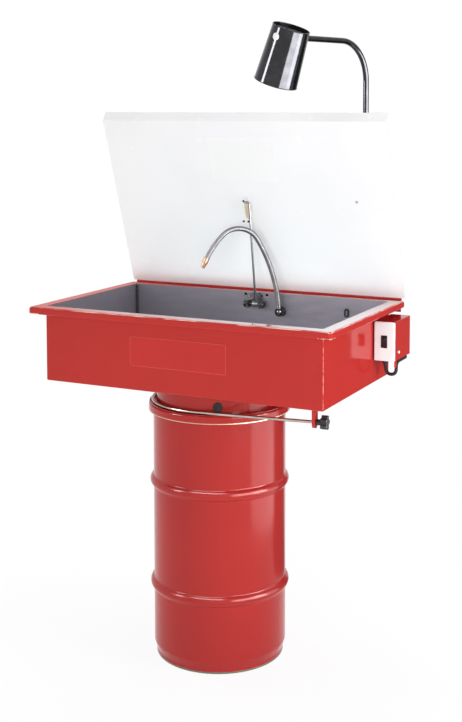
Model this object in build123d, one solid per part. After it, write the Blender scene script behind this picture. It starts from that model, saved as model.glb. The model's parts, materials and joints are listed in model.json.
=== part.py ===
from build123d import *
import os
from math import cos, pi, radians, sin

# A drum-mounted parts washer: an open-head steel drum holds the solvent and the pump,
# and carries a sheet-steel wash tub with a propped lid, a bendable spout, a switch box and a lamp.
# Sizes are in millimetres. The origin is the centre of the drum's foot on the floor,
# +X runs to the right along the tub, +Y to the back and +Z up.

# Fits shared by the pieces
touch_gap = 0.3
running_gap = 0.05
hole_gap = 0.1

# How far a cut runs past the face it opens
past = 1.0

# Drum
drum_radius = 177.8
drum_height = 686.0
drum_wall = 1.2
chime_radius = 171.5
chime_height = 14.0
chime_width = 5.5
chime_round = 2.0
drum_floor_height = 8.0
neck_height = 34.0
hoop_heights = (195.0, 474.5)
hoop_bulge = 9.3
hoop_half_height = 14.0
hoop_round = 5.0
curl_width = 12.2
curl_drop = 21.0
curl_round = 6.0

# Tub and its collar
rim_length = 864.0
rim_width = 533.0
rim_corner = 12.0
flange_width = 34.0
lip_depth = 19.0
tub_depth = 200.0
tub_sheet = 1.5
tub_bend = 4.0
rim_bend = 7.0
rim_hem = 4.0
rim_return = 6.0
collar_rise = 60.0
collar_radius = 169.0
collar_sheet = 1.5
collar_drop = 36.0
seat_width = 19.0
seat_sheet = 2.0
plug_turn = 25.6
plug_height = 18.5
plug_radius = 12.5
plug_stem_radius = 9.8
plug_cap = 3.0
plug_depth = 6.0
nameplate_length = 276.0
nameplate_height = 76.0
nameplate_corner = 4.0
nameplate_sheet = 1.0
nameplate_drop = 98.0
grommet_across = 275.0
grommet_below_rim = 41.0
grommet_length = 19.0
grommet_width = 9.7
grommet_lip = 3.0
grommet_face = 2.0
grommet_slit_length = 11.0
grommet_slit_width = 2.2

# Drain
drain_across = -80.0
drain_forward = 30.0
drain_radius = 28.0
drain_wall = 2.0
drain_length = 46.0
drain_flange = 14.0
drain_flange_sheet = 3.0
strainer_lap = 6.0
strainer_sheet = 1.5
strainer_hole_radius = 2.2
strainer_ring_pitch = 7.5
strainer_rings = 3

# Clamp round the collar
clamp_rod_radius = 4.0
clamp_loop_radius = 179.0
clamp_pull_angle = 7.8
clamp_loop_end = 55.0
clamp_end_bend = 9.0
clamp_inset = 63.0
clamp_plate = 8.0
clamp_foot_sheet = 3.0
clamp_plate_width = 30.0
clamp_foot = 17.0
clamp_hole_gap = 0.3
knob_neck_radius = 7.5
knob_neck_length = 13.0
knob_core_radius = 12.5
knob_lobe_radius = 6.0
knob_lobes = 5
knob_head_length = 17.0
knob_round = 2.0
knob_cap = 6.0

# Lid and its hinge
lid_open_angle = 71.0
lid_length = 514.0
lid_side_gap = 3.0
lid_sheet = 1.2
lid_lip = 27.0
lid_lip_angle = 50.0
lid_rest_gap = 0.4
hinge_standoff = 5.0
hinge_lift = 1.0
hinge_length = 838.0
hinge_knuckles = 17
hinge_knuckle_gap = 0.4
hinge_knuckle_radius = 3.5
hinge_pin_radius = 1.5
hinge_sheet = 1.2
hinge_leaf_height = 30.0
hinge_bridge = 3.0
hinge_fixings = 6
hinge_fixing_span = 740.0
rivet_radius = 2.0
rivet_head_radius = 3.4
rivet_head = 1.6
rivet_setback = 16.0
lip_rivet_drop = 10.5

# Lid prop and its fusible link
prop_pin_below_rim = 33.0
prop_pin_from_wall = 16.0
prop_pin_radius = 4.0
prop_plate = 2.0
prop_plate_width = 80.0
prop_plate_height = 39.0
prop_strip_height = 13.0
prop_plate_below_rim = 2.0
prop_ear = 3.0
prop_ear_span = 34.0
prop_ear_reach = 26.0
prop_ear_height = 22.0
prop_knob_radius = 10.5
prop_knob_length = 12.0
prop_knob_round = 5.0
prop_screw_span = 67.0
prop_screw_below_rim = 6.5
prop_screw_radius = 2.0
prop_screw_head_radius = 4.0
prop_screw_head = 2.5
prop_screw_length = 7.0
prop_rod_radius = 3.0
prop_rod_across = 5.0
prop_eye_radius = 8.0
prop_eye_length = 18.0
prop_hook_up_lid = 277.0
prop_hook_below_lid = 10.0
prop_hook_length = 15.0
prop_hook_bend = 6.0
link_plate_sheet = 1.5
link_plate_across = -15.0
link_plate_width = 32.0
link_plate_up_lid = 246.0
link_plate_length = 84.0
link_across = -8.0
link_up_lid = 248.0
link_length = 46.0
link_width = 12.0
link_sheet = 1.5
link_post_height = 2.5
link_post_radius = 3.0
link_post_inset = 6.0
link_screw_places = ((-16.0, 277.0), (-25.0, 215.0), (-10.0, 215.0))
link_screw_radius = 2.0
link_screw_head_radius = 3.2
link_screw_head = 2.0

# Spout
spout_across = 78.0
spout_below_rim = 50.0
spout_flange_radius = 14.5
spout_flange = 5.0
spout_flange_round = 2.0
spout_cup_radius = 12.5
spout_cup_length = 15.0
spout_slot_gap = 1.4
spout_neck_radius = 8.0
spout_neck_length = 24.0
spout_bore = 4.0
spout_nut_radius = 15.0
spout_nut_length = 7.0
ball_radius = 9.0
ball_from_wall = 17.0
spout_turn = 40.0
spout_start_angle = 3.0
spout_rise_radius = 453.0
spout_rise_sweep = 27.7
spout_top_radius = 64.0
spout_top_sweep = 105.4
spout_fall_radius = 248.0
spout_fall_sweep = 17.0
spout_hose_radius = 7.2
spout_rib_depth = 0.55
spout_hose_bore = 4.2
spout_rib_pitch = 4.2
spout_rib_shares = (0.0, 0.25, 0.65, 0.9)
spout_root = 10.0
nozzle_ferrule_radius = 8.2
nozzle_ferrule_length = 15.0
nozzle_step_radius = 7.2
nozzle_step_length = 2.0
nozzle_tip_radius = 5.8
nozzle_tip_length = 15.0
nozzle_bore = 2.6

# Supply hose from the pump
elbow_radius = 10.5
elbow_leg_radius = 9.5
elbow_length = 24.0
elbow_drop = 22.0
barb_length = 26.0
barb_gap = 0.1
barb_bore = 3.5
hose_radius = 8.5
hose_bore = 5.5
hose_run_below_tub = 34.0
hose_straight = 44.0
hose_bow = 10.7
hose_elbow_bend = 400.0
hose_back_bend = 58.0
hose_pump_bend = 75.0
hose_clamp_sheet = 1.0
hose_clamp_width = 9.0
hose_clamp_inset = 5.0
sleeve_wall = 3.5
sleeve_length = 12.0

# Pump
pump_across = 30.0
pump_back = 20.0
outlet_across = 78.0
outlet_back = 55.0
screen_radius = 55.0
screen_wall = 2.0
screen_height = 22.0
screen_slots = 12
screen_slot_width = 6.0
screen_slot_height = 12.0
volute_radius = 58.0
volute_height = 40.0
volute_wall = 6.0
volute_room_radius = 44.0
volute_eye_radius = 15.0
shaft_hole_gap = 1.0
outlet_boss_radius = 12.0
outlet_boss_height = 78.0
motor_radius = 46.0
motor_wall = 4.0
motor_floor = 6.0
motor_height = 108.0
stator_bore = 26.0
stator_floor = 24.0
stator_height = 65.0
bearing_plate_floor = 94.0
bearing_plate_height = 6.0
bearing_radius = 11.0
bearing_width = 6.0
shaft_radius = 5.0
shaft_top = 101.0
rotor_gap = 1.0
rotor_height = 61.0
impeller_radius = 38.0
impeller_disc = 4.0
impeller_lift = 3.0
vane_count = 6
vane_height = 16.0
vane_thickness = 3.0
vane_start = 12.0
cap_height = 20.0
cap_wall = 4.0
cap_round = 8.0
cap_gland_radius = 9.0
cap_gland_height = 15.0

# Pump lead
lead_radius = 4.5
lead_gap = 0.2
lead_loop_drop = 40.0
lead_tab_inset = 5.0
lead_tab_back = 27.0
lead_box_gap = 1.0
lead_wall_gap = 1.5
lead_run_below_tub = 28.0
lead_loop_bend = 15.0
lead_tab_bend = 12.0
lead_corner_bend = 20.0
lead_drop_bend = 30.0
lead_pump_bend = 40.0

# Switch box
box_front = 110.0
box_depth = 122.0
box_width = 55.0
box_height = 104.0
box_below_rim = 34.0
box_sheet = 1.5
box_from_wall = 4.0
spacer_radius = 6.0
spacer_inset = 30.0
tab_width = 16.0
tab_length = 18.0
plate_width = 57.0
plate_height = 103.0
plate_depth = 6.0
plate_wall = 1.8
plate_round = 4.0
side_screw_back = 31.0
side_screw_up = 21.0
side_screw_radius = 2.0
side_screw_head_radius = 4.5
side_screw_head = 2.8
side_screw_length = 8.0
switch_width = 17.0
switch_height = 33.0
switch_lift = 1.2
switch_body_depth = 28.0
switch_body_inset = 1.6
rocker_pocket_depth = 10.0
rocker_width = 12.0
rocker_height = 25.2
rocker_gap = 0.4
rocker_reach = 5.5
rocker_dish = 1.8
rocker_back = 3.5
rocker_heel_height = 15.0
rocker_pin_radius = 1.4
rocker_pin_reach = 0.8
rocker_tilt = 9.0
rocker_pivot_depth = 3.0
gland_across = 22.0
gland_back = 31.0
gland_radius = 9.0
gland_nose_radius = 8.0
gland_core_radius = 3.5
gland_thread_radius = 6.2
gland_length = 11.0
gland_flange = 4.0
gland_thread_length = 5.0
inlet_across = 28.0
inlet_up = 42.0
inlet_radius = 11.0
inlet_thread_radius = 8.0
inlet_length = 16.0
inlet_thread_length = 5.5
inlet_nose_radius = 9.0
inlet_bore = 4.5

# Lamp
lamp_inset = 97.0
lamp_back = 300.0
lamp_plate = 3.0
lamp_plate_width = 40.0
lamp_shelf_below_rim = 66.0
lamp_shelf_sheet = 4.0
lamp_shelf_overhang = 20.0
lamp_shelf_round = 12.0
lamp_plate_height = 44.0
lamp_base_radius = 16.0
lamp_base_height = 40.0
lamp_base_round = 3.0
lamp_tube_radius = 8.0
lamp_tube_wall = 1.4
lamp_arm_above_rim = 702.0
lamp_bend = 106.0
lamp_arm_turn = 16.0
lamp_reach = 331.5
shade_roll = 20.8
shade_top_radius = 49.0
shade_mouth_radius = 57.0
shade_length = 147.0
shade_above_arm = 25.0
shade_wall = 1.0
shade_bead_radius = 1.4
stem_radius = 5.0
stem_bore = 3.0
stem_end = 2.0
stem_nut_radius = 11.0
stem_nut_length = 7.0
stem_washer_radius = 9.0
stem_washer = 3.0
stem_nut_clear = 1.0
stem_washer_clear = 2.5
baffle_below_top = 10.0
baffle_sheet = 2.0
baffle_slots = 6
baffle_slot_length = 18.0
baffle_slot_width = 5.0
baffle_slot_ring = 33.0
socket_radius = 17.0
socket_length = 54.0
socket_roof = 4.0
bulb_cap_radius = 13.0
bulb_radius = 30.0
bulb_wall = 1.0
bulb_centre_below_arm = 75.0
bulb_neck_below_arm = 42.0
bulb_shoulder_angle = 35.0

# Places worked out from the sizes above
tub_bottom = drum_height + collar_rise
tub_floor = tub_bottom + tub_sheet
rim_top = tub_bottom + tub_depth
rim_back = rim_width / 2
wall_x = rim_length / 2 - flange_width
wall_y = rim_width / 2 - flange_width
inner_wall_y = wall_y - tub_sheet
drum_floor = drum_floor_height + drum_wall
hinge_y = rim_back + hinge_standoff
hinge_z = rim_top + hinge_lift
lid_under = rim_top + lid_rest_gap
prop_pin_y = inner_wall_y - prop_pin_from_wall
prop_pin_z = rim_top - prop_pin_below_rim
spout_z = rim_top - spout_below_rim
ball_y = inner_wall_y - ball_from_wall
clamp_z = drum_height + seat_sheet + touch_gap + clamp_rod_radius
clamp_turn = radians(clamp_pull_angle)
clamp_reach = (wall_x - clamp_inset - clamp_loop_radius * sin(clamp_turn)) / cos(clamp_turn)
lamp_across = wall_x - lamp_inset
box_left = wall_x + box_from_wall
box_right = box_left + box_width
box_back = box_front + box_depth
box_top = rim_top - box_below_rim
box_bottom = box_top - box_height
switch_x = box_left + box_width / 2
switch_z = (box_top + box_bottom) / 2
plate_front = box_front - plate_depth
volute_bottom = drum_floor + screen_height
motor_bottom = volute_bottom + volute_height
cap_bottom = motor_bottom + motor_height
lamp_shelf_top = rim_top - lamp_shelf_below_rim
lamp_arm_z = rim_top + lamp_arm_above_rim


def block(low, high):
    """Box between two opposite corners."""
    size = [b - a for a, b in zip(low, high)]
    middle = [(a + b) / 2 for a, b in zip(low, high)]
    return Pos(*middle) * Box(*size)


def bar(start, end, radius):
    """Round bar between two points."""
    run = Vector(*end) - Vector(*start)
    return extrude(Plane(origin=start, z_dir=run) * Circle(radius), amount=run.length)


def tube(start, end, outer, inner):
    """Round tube between two points."""
    return bar(start, end, outer) - bar(start, end, inner)


def hexagon(start, end, radius):
    """Six-sided bar between two points, measured to its corners."""
    run = Vector(*end) - Vector(*start)
    section = Plane(origin=start, z_dir=run) * RegularPolygon(radius, 6)
    return extrude(section, amount=run.length)


def along(path, radius):
    """Round bar that follows a path."""
    return sweep(Plane(origin=path @ 0, z_dir=path % 0) * Circle(radius), path=path)


def row(count, span):
    """Evenly spaced places about zero."""
    return [span * (i / (count - 1) - 0.5) for i in range(count)]


def pan_screw(seat, direction, radius, length, head_radius, head):
    """Pan-head screw whose head sits on the seat and whose shank runs along the direction."""
    seat = Vector(*seat)
    direction = Vector(*direction)
    shank = bar(seat, seat + direction * length, radius)
    top = bar(seat - direction * head, seat, head_radius)
    outer = top.faces().sort_by(Axis(seat, direction))[0].edges()
    return fillet(outer, head / 2) + shank


# Drum


def drum_form(inset, bottom, top):
    """Solid of the drum's side pulled in by the inset, between two heights."""
    wall = drum_radius - inset
    foot = chime_radius - inset
    edges = [
        Line((0, bottom), (foot, bottom)),
        Line((foot, bottom), (foot, chime_height)),
        Line((foot, chime_height), (wall, neck_height)),
    ]
    last = (wall, neck_height)
    for height in hoop_heights:
        start = (wall, height - hoop_half_height)
        end = (wall, height + hoop_half_height)
        edges.append(Line(last, start))
        edges.append(ThreePointArc(start, (wall + hoop_bulge, height), end))
        last = end
    edges.append(Line(last, (wall, top)))
    edges.append(Line((wall, top), (0, top)))
    edges.append(Line((0, top), (0, bottom)))
    face = make_face(edges)
    bends = [corner for corner in face.vertices() if corner.X > foot + past and corner.Y < top - past]
    face = fillet(bends, hoop_round)
    return revolve(Plane.XZ * face, Axis.Z)


def make_drum():
    """Open-head drum with two rolling hoops, a seamed foot and a rolled rim."""
    shell = drum_form(0, 0, drum_height)
    foot_edge = shell.edges().sort_by(Axis.Z)[0]
    shell = fillet(foot_edge, chime_round)
    shell -= drum_form(drum_wall, drum_floor, drum_height + curl_drop)
    shell -= bar((0, 0, 0), (0, 0, drum_floor_height), chime_radius - chime_width)
    width = curl_width + drum_wall
    middle = drum_radius - drum_wall + width / 2
    section = Pos(middle, drum_height - curl_drop / 2) * Rectangle(width, curl_drop)
    section = fillet(section.vertices().sort_by(Axis.X)[2:].sort_by(Axis.Y)[-1], curl_round)
    room = curl_width - drum_wall
    channel_z = drum_height - drum_wall - curl_drop / 2
    channel = Pos(drum_radius + room / 2, channel_z) * Rectangle(room, curl_drop)
    channel = fillet(channel.vertices().sort_by(Axis.X)[2:].sort_by(Axis.Y)[-1], curl_round - drum_wall)
    return shell + revolve(Plane.XZ * (section - channel), Axis.Z)


# Tub


def hinge_places():
    """Places of the hinge's fixings along the rim."""
    return row(hinge_fixings, hinge_fixing_span)


def oval(length, width, back, front):
    """Upright oval plug between two depths, centred on the rear wall's grommet."""
    flat = Rot(0, 0, 90) * SlotOverall(length, width)
    spot = (grommet_across, back, rim_top - grommet_below_rim)
    plane = Plane(origin=spot, x_dir=(1, 0, 0), z_dir=(0, -1, 0))
    return extrude(plane * flat, amount=back - front)


def rear_wall_hole(x, z, radius):
    """Clearance hole through the rear wall and whatever is fixed to its inner face."""
    start = (x, inner_wall_y - prop_plate - past, z)
    return bar(start, (x, wall_y + past, z), radius + hole_gap)


def rim_form(inset):
    """Rounded block as large as the rim's flange and lip, less an inset all over."""
    plan = RectangleRounded(rim_length - 2 * inset, rim_width - 2 * inset, rim_corner - inset)
    body = Pos(0, 0, rim_top - lip_depth + inset) * extrude(plan, lip_depth - 2 * inset)
    body = fillet(body.faces().sort_by(Axis.Z)[-1].edges(), rim_bend - inset)
    return fillet(body.faces().sort_by(Axis.Z)[0].edges(), rim_hem - inset)


def make_rim():
    """Flange whose edge is bent down and hemmed in underneath, still without its mouth."""
    length = rim_length - 2 * rim_return
    width = rim_width - 2 * rim_return
    inside = RectangleRounded(length, width, rim_corner - rim_return)
    under = Pos(0, 0, rim_top - lip_depth - past) * extrude(inside, tub_sheet + 2 * past)
    return rim_form(0) - rim_form(tub_sheet) - under


def make_tub():
    """Folded sheet tub with a flange round its mouth and a turned-down, hemmed lip."""
    form = block((-wall_x, -wall_y, tub_bottom), (wall_x, wall_y, rim_top))
    form = fillet(form.edges().filter_by(Axis.Z) + form.faces().sort_by(Axis.Z)[0].edges(), tub_bend)
    room = block(
        (tub_sheet - wall_x, tub_sheet - wall_y, tub_floor),
        (wall_x - tub_sheet, wall_y - tub_sheet, rim_top + tub_sheet),
    )
    corners = room.edges().filter_by(Axis.Z) + room.faces().sort_by(Axis.Z)[0].edges()
    room = fillet(corners, tub_bend - tub_sheet)
    tub = form + make_rim() - room
    drain = Pos(drain_across, -drain_forward, 0)
    tub -= drain * bar((0, 0, tub_bottom - past), (0, 0, tub_floor + past), drain_radius)
    tub -= rear_wall_hole(spout_across, spout_z, spout_neck_radius)
    tub -= oval(grommet_length, grommet_width, wall_y + past, inner_wall_y - past)
    for x in row(2, prop_screw_span):
        tub -= rear_wall_hole(x, rim_top - prop_screw_below_rim, prop_screw_radius)
    for x in hinge_places():
        z = rim_top - lip_rivet_drop
        tub -= bar((x, rim_back - tub_sheet - past, z), (x, rim_back + past, z), rivet_radius + hole_gap)
    return tub


def make_collar():
    """Short skirt under the tub, dropping into the drum and seated on its rim."""
    low = drum_height - collar_drop
    inner = collar_radius - collar_sheet
    skirt = tube((0, 0, low), (0, 0, tub_bottom), collar_radius, inner)
    seat_top = drum_height + seat_sheet
    collar = skirt + tube((0, 0, drum_height), (0, 0, seat_top), collar_radius + seat_width, inner)
    base, axis = plug_axis()
    collar -= bar(base, base + axis * (collar_radius + past), plug_stem_radius + hole_gap)
    for x, z, radius, _ in collar_lines():
        collar -= bar((x, 0, z), (x, collar_radius, z), radius + sleeve_wall + hole_gap)
    return collar


def plug_axis():
    """Point on the drum's axis level with the plug, and the plug's outward direction."""
    turn = radians(plug_turn)
    return Vector(0, 0, drum_height + plug_height), Vector(sin(turn), -cos(turn), 0)


def make_collar_plug():
    """Rubber plug in the collar's front hole."""
    base, axis = plug_axis()
    face = base + axis * (collar_radius + plug_cap)
    cap = bar(base, face, plug_radius)
    cap -= bar((0, 0, 0), (0, 0, rim_top), collar_radius + running_gap)
    cap = fillet(cap.faces().sort_by(Axis(base, axis))[-1].edges(), plug_cap / 2)
    stem = bar(base + axis * (collar_radius - plug_depth), face - axis * plug_cap / 2, plug_stem_radius)
    return cap + stem


def collar_back(x):
    """Depth of the collar's outer face at its back, at one place across."""
    return (collar_radius**2 - x**2) ** 0.5


def collar_lines():
    """Place across, height, radius and clearance of the hose and the pump lead in the collar's wall."""
    hose = (spout_across, tub_bottom - hose_run_below_tub, hose_radius, hole_gap)
    lead = (pump_across, tub_bottom - lead_run_below_tub, lead_radius, lead_gap)
    return hose, lead


def make_collar_sleeves():
    """Rubber sleeves where the hose and the pump lead go through the collar."""
    sleeves = []
    for x, z, radius, gap in collar_lines():
        middle = collar_back(x) - collar_sheet / 2
        start = (x, middle - sleeve_length, z)
        end = (x, middle + sleeve_length, z)
        sleeves.append(tube(start, end, radius + sleeve_wall, radius + gap))
    return sleeves


def make_wall_grommet():
    """Oval rubber grommet with a slit, in the spare hole of the rear wall."""
    lip_length = grommet_length + 2 * grommet_lip
    lip_width = grommet_width + 2 * grommet_lip
    front = oval(lip_length, lip_width, inner_wall_y, inner_wall_y - grommet_face)
    back = oval(lip_length, lip_width, wall_y + grommet_face, wall_y)
    slack = 2 * hole_gap
    middle = oval(grommet_length - slack, grommet_width - slack, wall_y + past, inner_wall_y - past)
    side = grommet_slit_width / 2
    low = rim_top - grommet_below_rim - grommet_slit_length / 2
    slit = block(
        (grommet_across - side, inner_wall_y - grommet_face - past, low),
        (grommet_across + side, wall_y + grommet_face + past, low + grommet_slit_length),
    )
    return front + middle + back - slit


def make_nameplate():
    """Bare plate on the front wall."""
    plane = Plane(origin=(0, -wall_y, rim_top - nameplate_drop), x_dir=(1, 0, 0), z_dir=(0, -1, 0))
    plate = RectangleRounded(nameplate_length, nameplate_height, nameplate_corner)
    return extrude(plane * plate, nameplate_sheet)


def make_drain_tube():
    """Flanged tail pipe under the tub's drain hole."""
    low = (drain_across, -drain_forward, tub_bottom - drain_length)
    top = (drain_across, -drain_forward, tub_bottom)
    flange_low = (drain_across, -drain_forward, tub_bottom - drain_flange_sheet)
    pipe = bar(low, top, drain_radius + drain_wall) + bar(flange_low, top, drain_radius + drain_flange)
    return pipe - bar(low, top, drain_radius)


def make_drain_strainer():
    """Perforated disc over the drain hole."""
    low = Vector(drain_across, -drain_forward, tub_floor)
    disc = bar(low, low + Vector(0, 0, strainer_sheet), drain_radius + strainer_lap)
    holes = Circle(strainer_hole_radius)
    for ring in range(1, strainer_rings + 1):
        spots = PolarLocations(ring * strainer_ring_pitch, 6 * ring)
        holes += spots * Circle(strainer_hole_radius)
    return disc - extrude(Plane(origin=low) * holes, strainer_sheet)


# Clamp


def clamp_tangent():
    """Point where the rod leaves its loop, and its direction from there."""
    pull = Vector(cos(clamp_turn), sin(clamp_turn), 0)
    return Vector(pull.Y, -pull.X, 0) * clamp_loop_radius + Vector(0, 0, clamp_z), pull


def knob_shoulder():
    """Distance from the bracket's middle to the back of the knob's head."""
    return clamp_plate / 2 + touch_gap + knob_neck_length


def make_clamp_rod():
    """Bent rod: a loop round the collar on the drum's rim, and a straight pull to the knob."""
    point, pull = clamp_tangent()
    end = point + pull * (clamp_reach + knob_shoulder() + knob_head_length - knob_cap)
    last = radians(clamp_loop_end)
    far = Vector(clamp_loop_radius * cos(last), clamp_loop_radius * sin(last), clamp_z)
    left = Vector(-clamp_loop_radius, 0, clamp_z)
    loop = ThreePointArc(far, left, point)
    centre = far - Vector(cos(last), sin(last), 0) * clamp_end_bend
    tip = centre + Vector(sin(last), -cos(last), 0) * clamp_end_bend
    mid = centre + (far - centre + tip - centre).normalized() * clamp_end_bend
    hook = ThreePointArc(tip, mid, far)
    return along(Wire([hook, loop, Line(point, end)]), clamp_rod_radius)


def clamp_frame():
    """Frame of the clamp bracket, with X along the rod."""
    point, pull = clamp_tangent()
    spot = point + pull * clamp_reach
    return Plane(origin=spot, x_dir=pull, z_dir=(0, 0, 1))


def make_clamp_bracket():
    """Round-ended tab under the tub that the rod pulls through."""
    half = clamp_plate / 2
    side = clamp_plate_width / 2
    top = tub_bottom - clamp_z
    tab = block((-half, -side, 0), (half, side, top)) + bar((-half, 0, 0), (half, 0, 0), side)
    foot = block((-half - clamp_foot, -side, top - clamp_foot_sheet), (half, side, top))
    hole = bar((-half - past, 0, 0), (half + past, 0, 0), clamp_rod_radius + clamp_hole_gap)
    return clamp_frame() * (tab + foot - hole)


def make_clamp_knob():
    """Lobed knob on the rod's threaded end."""
    shoulder = knob_shoulder()
    start = shoulder - knob_neck_length
    end = shoulder + knob_head_length
    lobes = PolarLocations(knob_core_radius, knob_lobes) * Circle(knob_lobe_radius)
    section = Plane.YZ * (Circle(knob_core_radius) + lobes)
    head = Pos(shoulder, 0, 0) * extrude(section, end - shoulder)
    head = fillet(head.faces().sort_by(Axis.X)[-1].edges(), knob_round)
    neck = bar((start, 0, 0), (shoulder + past, 0, 0), knob_neck_radius)
    bore = bar((start - past, 0, 0), (end - knob_cap + past, 0, 0), clamp_rod_radius + running_gap)
    return clamp_frame() * (head + neck - bore)


# Lid


def opened(part):
    """A lid piece turned from its shut place to its propped one."""
    return Pos(0, hinge_y, hinge_z) * Rot(-lid_open_angle, 0, 0) * Pos(0, -hinge_y, -hinge_z) * part


def opened_point(y, z):
    """Depth and height of a point of the shut lid when the lid is propped."""
    turn = radians(lid_open_angle)
    back = y - hinge_y
    up = z - hinge_z
    return hinge_y + back * cos(turn) + up * sin(turn), hinge_z - back * sin(turn) + up * cos(turn)


def on_lid(up_lid):
    """Depth of a place on the shut lid, counted from the hinge."""
    return hinge_y - up_lid


def lid_hole(x, y, radius):
    """Clearance hole through the shut lid and what is fixed above and below it."""
    low = link_base() - past
    top = lid_under + lid_sheet + hinge_sheet + past
    return bar((x, y, low), (x, y, top), radius + hole_gap)


def make_lid_panel():
    """Flat lid sheet with a finger lip bent up along its front edge."""
    half = rim_length / 2 - lid_side_gap
    back = hinge_y - hinge_knuckle_radius - hinge_knuckle_gap
    front = on_lid(lid_length)
    sheet = block((-half, front, lid_under), (half, back, lid_under + lid_sheet))
    turn = radians(lid_lip_angle)
    tip_y = front - lid_lip * cos(turn)
    tip_z = lid_under + lid_lip * sin(turn)
    side = [
        (front, lid_under),
        (tip_y, tip_z),
        (tip_y + lid_sheet * sin(turn), tip_z + lid_sheet * cos(turn)),
        (front + lid_sheet * sin(turn), lid_under + lid_sheet),
    ]
    lip_face = make_face(Polyline(*[(-half, y, z) for y, z in side], close=True))
    lip = extrude(lip_face, amount=2 * half, dir=(1, 0, 0))
    panel = sheet + lip
    for x in hinge_places():
        panel -= lid_hole(x, rim_back - rivet_setback, rivet_radius)
    for x, up_lid in link_screw_places:
        panel -= lid_hole(x, on_lid(up_lid), link_screw_radius)
    return opened(panel)


def knuckle_spans():
    """Ends of the hinge's knuckles along the rim, from left to right."""
    pitch = hinge_length / hinge_knuckles
    left = -hinge_length / 2
    gap = hinge_knuckle_gap / 2
    return [(left + i * pitch + gap, left + (i + 1) * pitch - gap) for i in range(hinge_knuckles)]


def knuckles(first, low, high):
    """Every second knuckle from the first, each with the bridge that joins it to its leaf."""
    parts = []
    for x0, x1 in knuckle_spans()[first::2]:
        parts.append(bar((x0, hinge_y, hinge_z), (x1, hinge_y, hinge_z), hinge_knuckle_radius))
        parts.append(block((x0, *low), (x1, *high)))
    return parts


def hinge_bore():
    """Room for the hinge pin."""
    half = hinge_length / 2 + past
    return bar((-half, hinge_y, hinge_z), (half, hinge_y, hinge_z), hinge_pin_radius + running_gap)


def make_hinge_leaf():
    """Fixed half of the lid's long hinge, on the rear lip."""
    half = hinge_length / 2
    top = hinge_z - hinge_knuckle_radius - hinge_knuckle_gap
    leaf = block((-half, rim_back, top - hinge_leaf_height), (half, rim_back + hinge_sheet, top))
    parts = knuckles(0, (rim_back, top - hinge_bridge), (hinge_y, hinge_z - hinge_knuckle_radius / 2))
    leaf = leaf + parts
    for x in hinge_places():
        z = rim_top - lip_rivet_drop
        leaf -= bar((x, rim_back - past, z), (x, rim_back + hinge_sheet + past, z), rivet_radius + hole_gap)
    return leaf - hinge_bore()


def make_lid_hinge_leaf():
    """Moving half of the hinge, on top of the lid."""
    half = hinge_length / 2
    low = lid_under + lid_sheet
    top = low + hinge_sheet
    edge = hinge_y - hinge_knuckle_radius - hinge_knuckle_gap
    leaf = block((-half, edge - hinge_leaf_height, low), (half, edge, top))
    leaf = leaf + knuckles(1, (edge - hinge_bridge, low), (hinge_y - hinge_pin_radius, top))
    for x in hinge_places():
        leaf -= lid_hole(x, rim_back - rivet_setback, rivet_radius)
    return opened(leaf - hinge_bore())


def make_hinge_pin():
    """Long wire pin through the hinge's knuckles."""
    half = hinge_length / 2
    return bar((-half, hinge_y, hinge_z), (half, hinge_y, hinge_z), hinge_pin_radius)


def rivet(start, end):
    """Rivet with a head at each end, gripping what lies between two points."""
    start = Vector(*start)
    end = Vector(*end)
    run = (end - start).normalized() * rivet_head
    shank = bar(start, end, rivet_radius)
    return shank + bar(start - run, start, rivet_head_radius) + bar(end, end + run, rivet_head_radius)


def make_hinge_rivets():
    """Rivets through the fixed leaf and the rear lip."""
    z = rim_top - lip_rivet_drop
    return [rivet((x, rim_back - tub_sheet, z), (x, rim_back + hinge_sheet, z)) for x in hinge_places()]


def make_lid_rivets():
    """Rivets through the moving leaf and the lid."""
    y = rim_back - rivet_setback
    top = lid_under + lid_sheet + hinge_sheet
    parts = []
    for x in hinge_places():
        shank = bar((x, y, lid_under), (x, y, top), rivet_radius)
        parts.append(opened(shank + bar((x, y, top), (x, y, top + rivet_head), rivet_head_radius)))
    return parts


# Lid prop


def make_prop_bracket():
    """Wall plate with two ears that hold the prop's pivot pin."""
    half = prop_plate_width / 2
    top = rim_top - prop_plate_below_rim
    front = inner_wall_y - prop_plate
    web = prop_ear_span / 2 + prop_ear
    bracket = block((-half, front, top - prop_strip_height), (half, inner_wall_y, top))
    bracket += block((-web, front, top - prop_plate_height), (web, inner_wall_y, top))
    low = prop_pin_z - prop_ear_height / 2
    for side in (-1, 1):
        x = side * (prop_ear_span + prop_ear) / 2
        ear = block(
            (x - prop_ear / 2, inner_wall_y - prop_ear_reach, low),
            (x + prop_ear / 2, inner_wall_y - prop_plate / 2, low + prop_ear_height),
        )
        bracket += ear
    for x in row(2, prop_screw_span):
        bracket -= rear_wall_hole(x, rim_top - prop_screw_below_rim, prop_screw_radius)
    reach = prop_ear_span / 2 + prop_ear + past
    pin_hole = bar((-reach, 0, 0), (reach, 0, 0), prop_pin_radius + hole_gap)
    return bracket - Pos(0, prop_pin_y, prop_pin_z) * pin_hole


def prop_knob_inner():
    """Distance from the middle of the bracket to a knob's inner face."""
    return prop_ear_span / 2 + prop_ear + touch_gap


def make_prop_pin():
    """Pivot pin of the prop rod."""
    half = prop_knob_inner() + prop_knob_length / 2
    return bar((-half, prop_pin_y, prop_pin_z), (half, prop_pin_y, prop_pin_z), prop_pin_radius)


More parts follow.
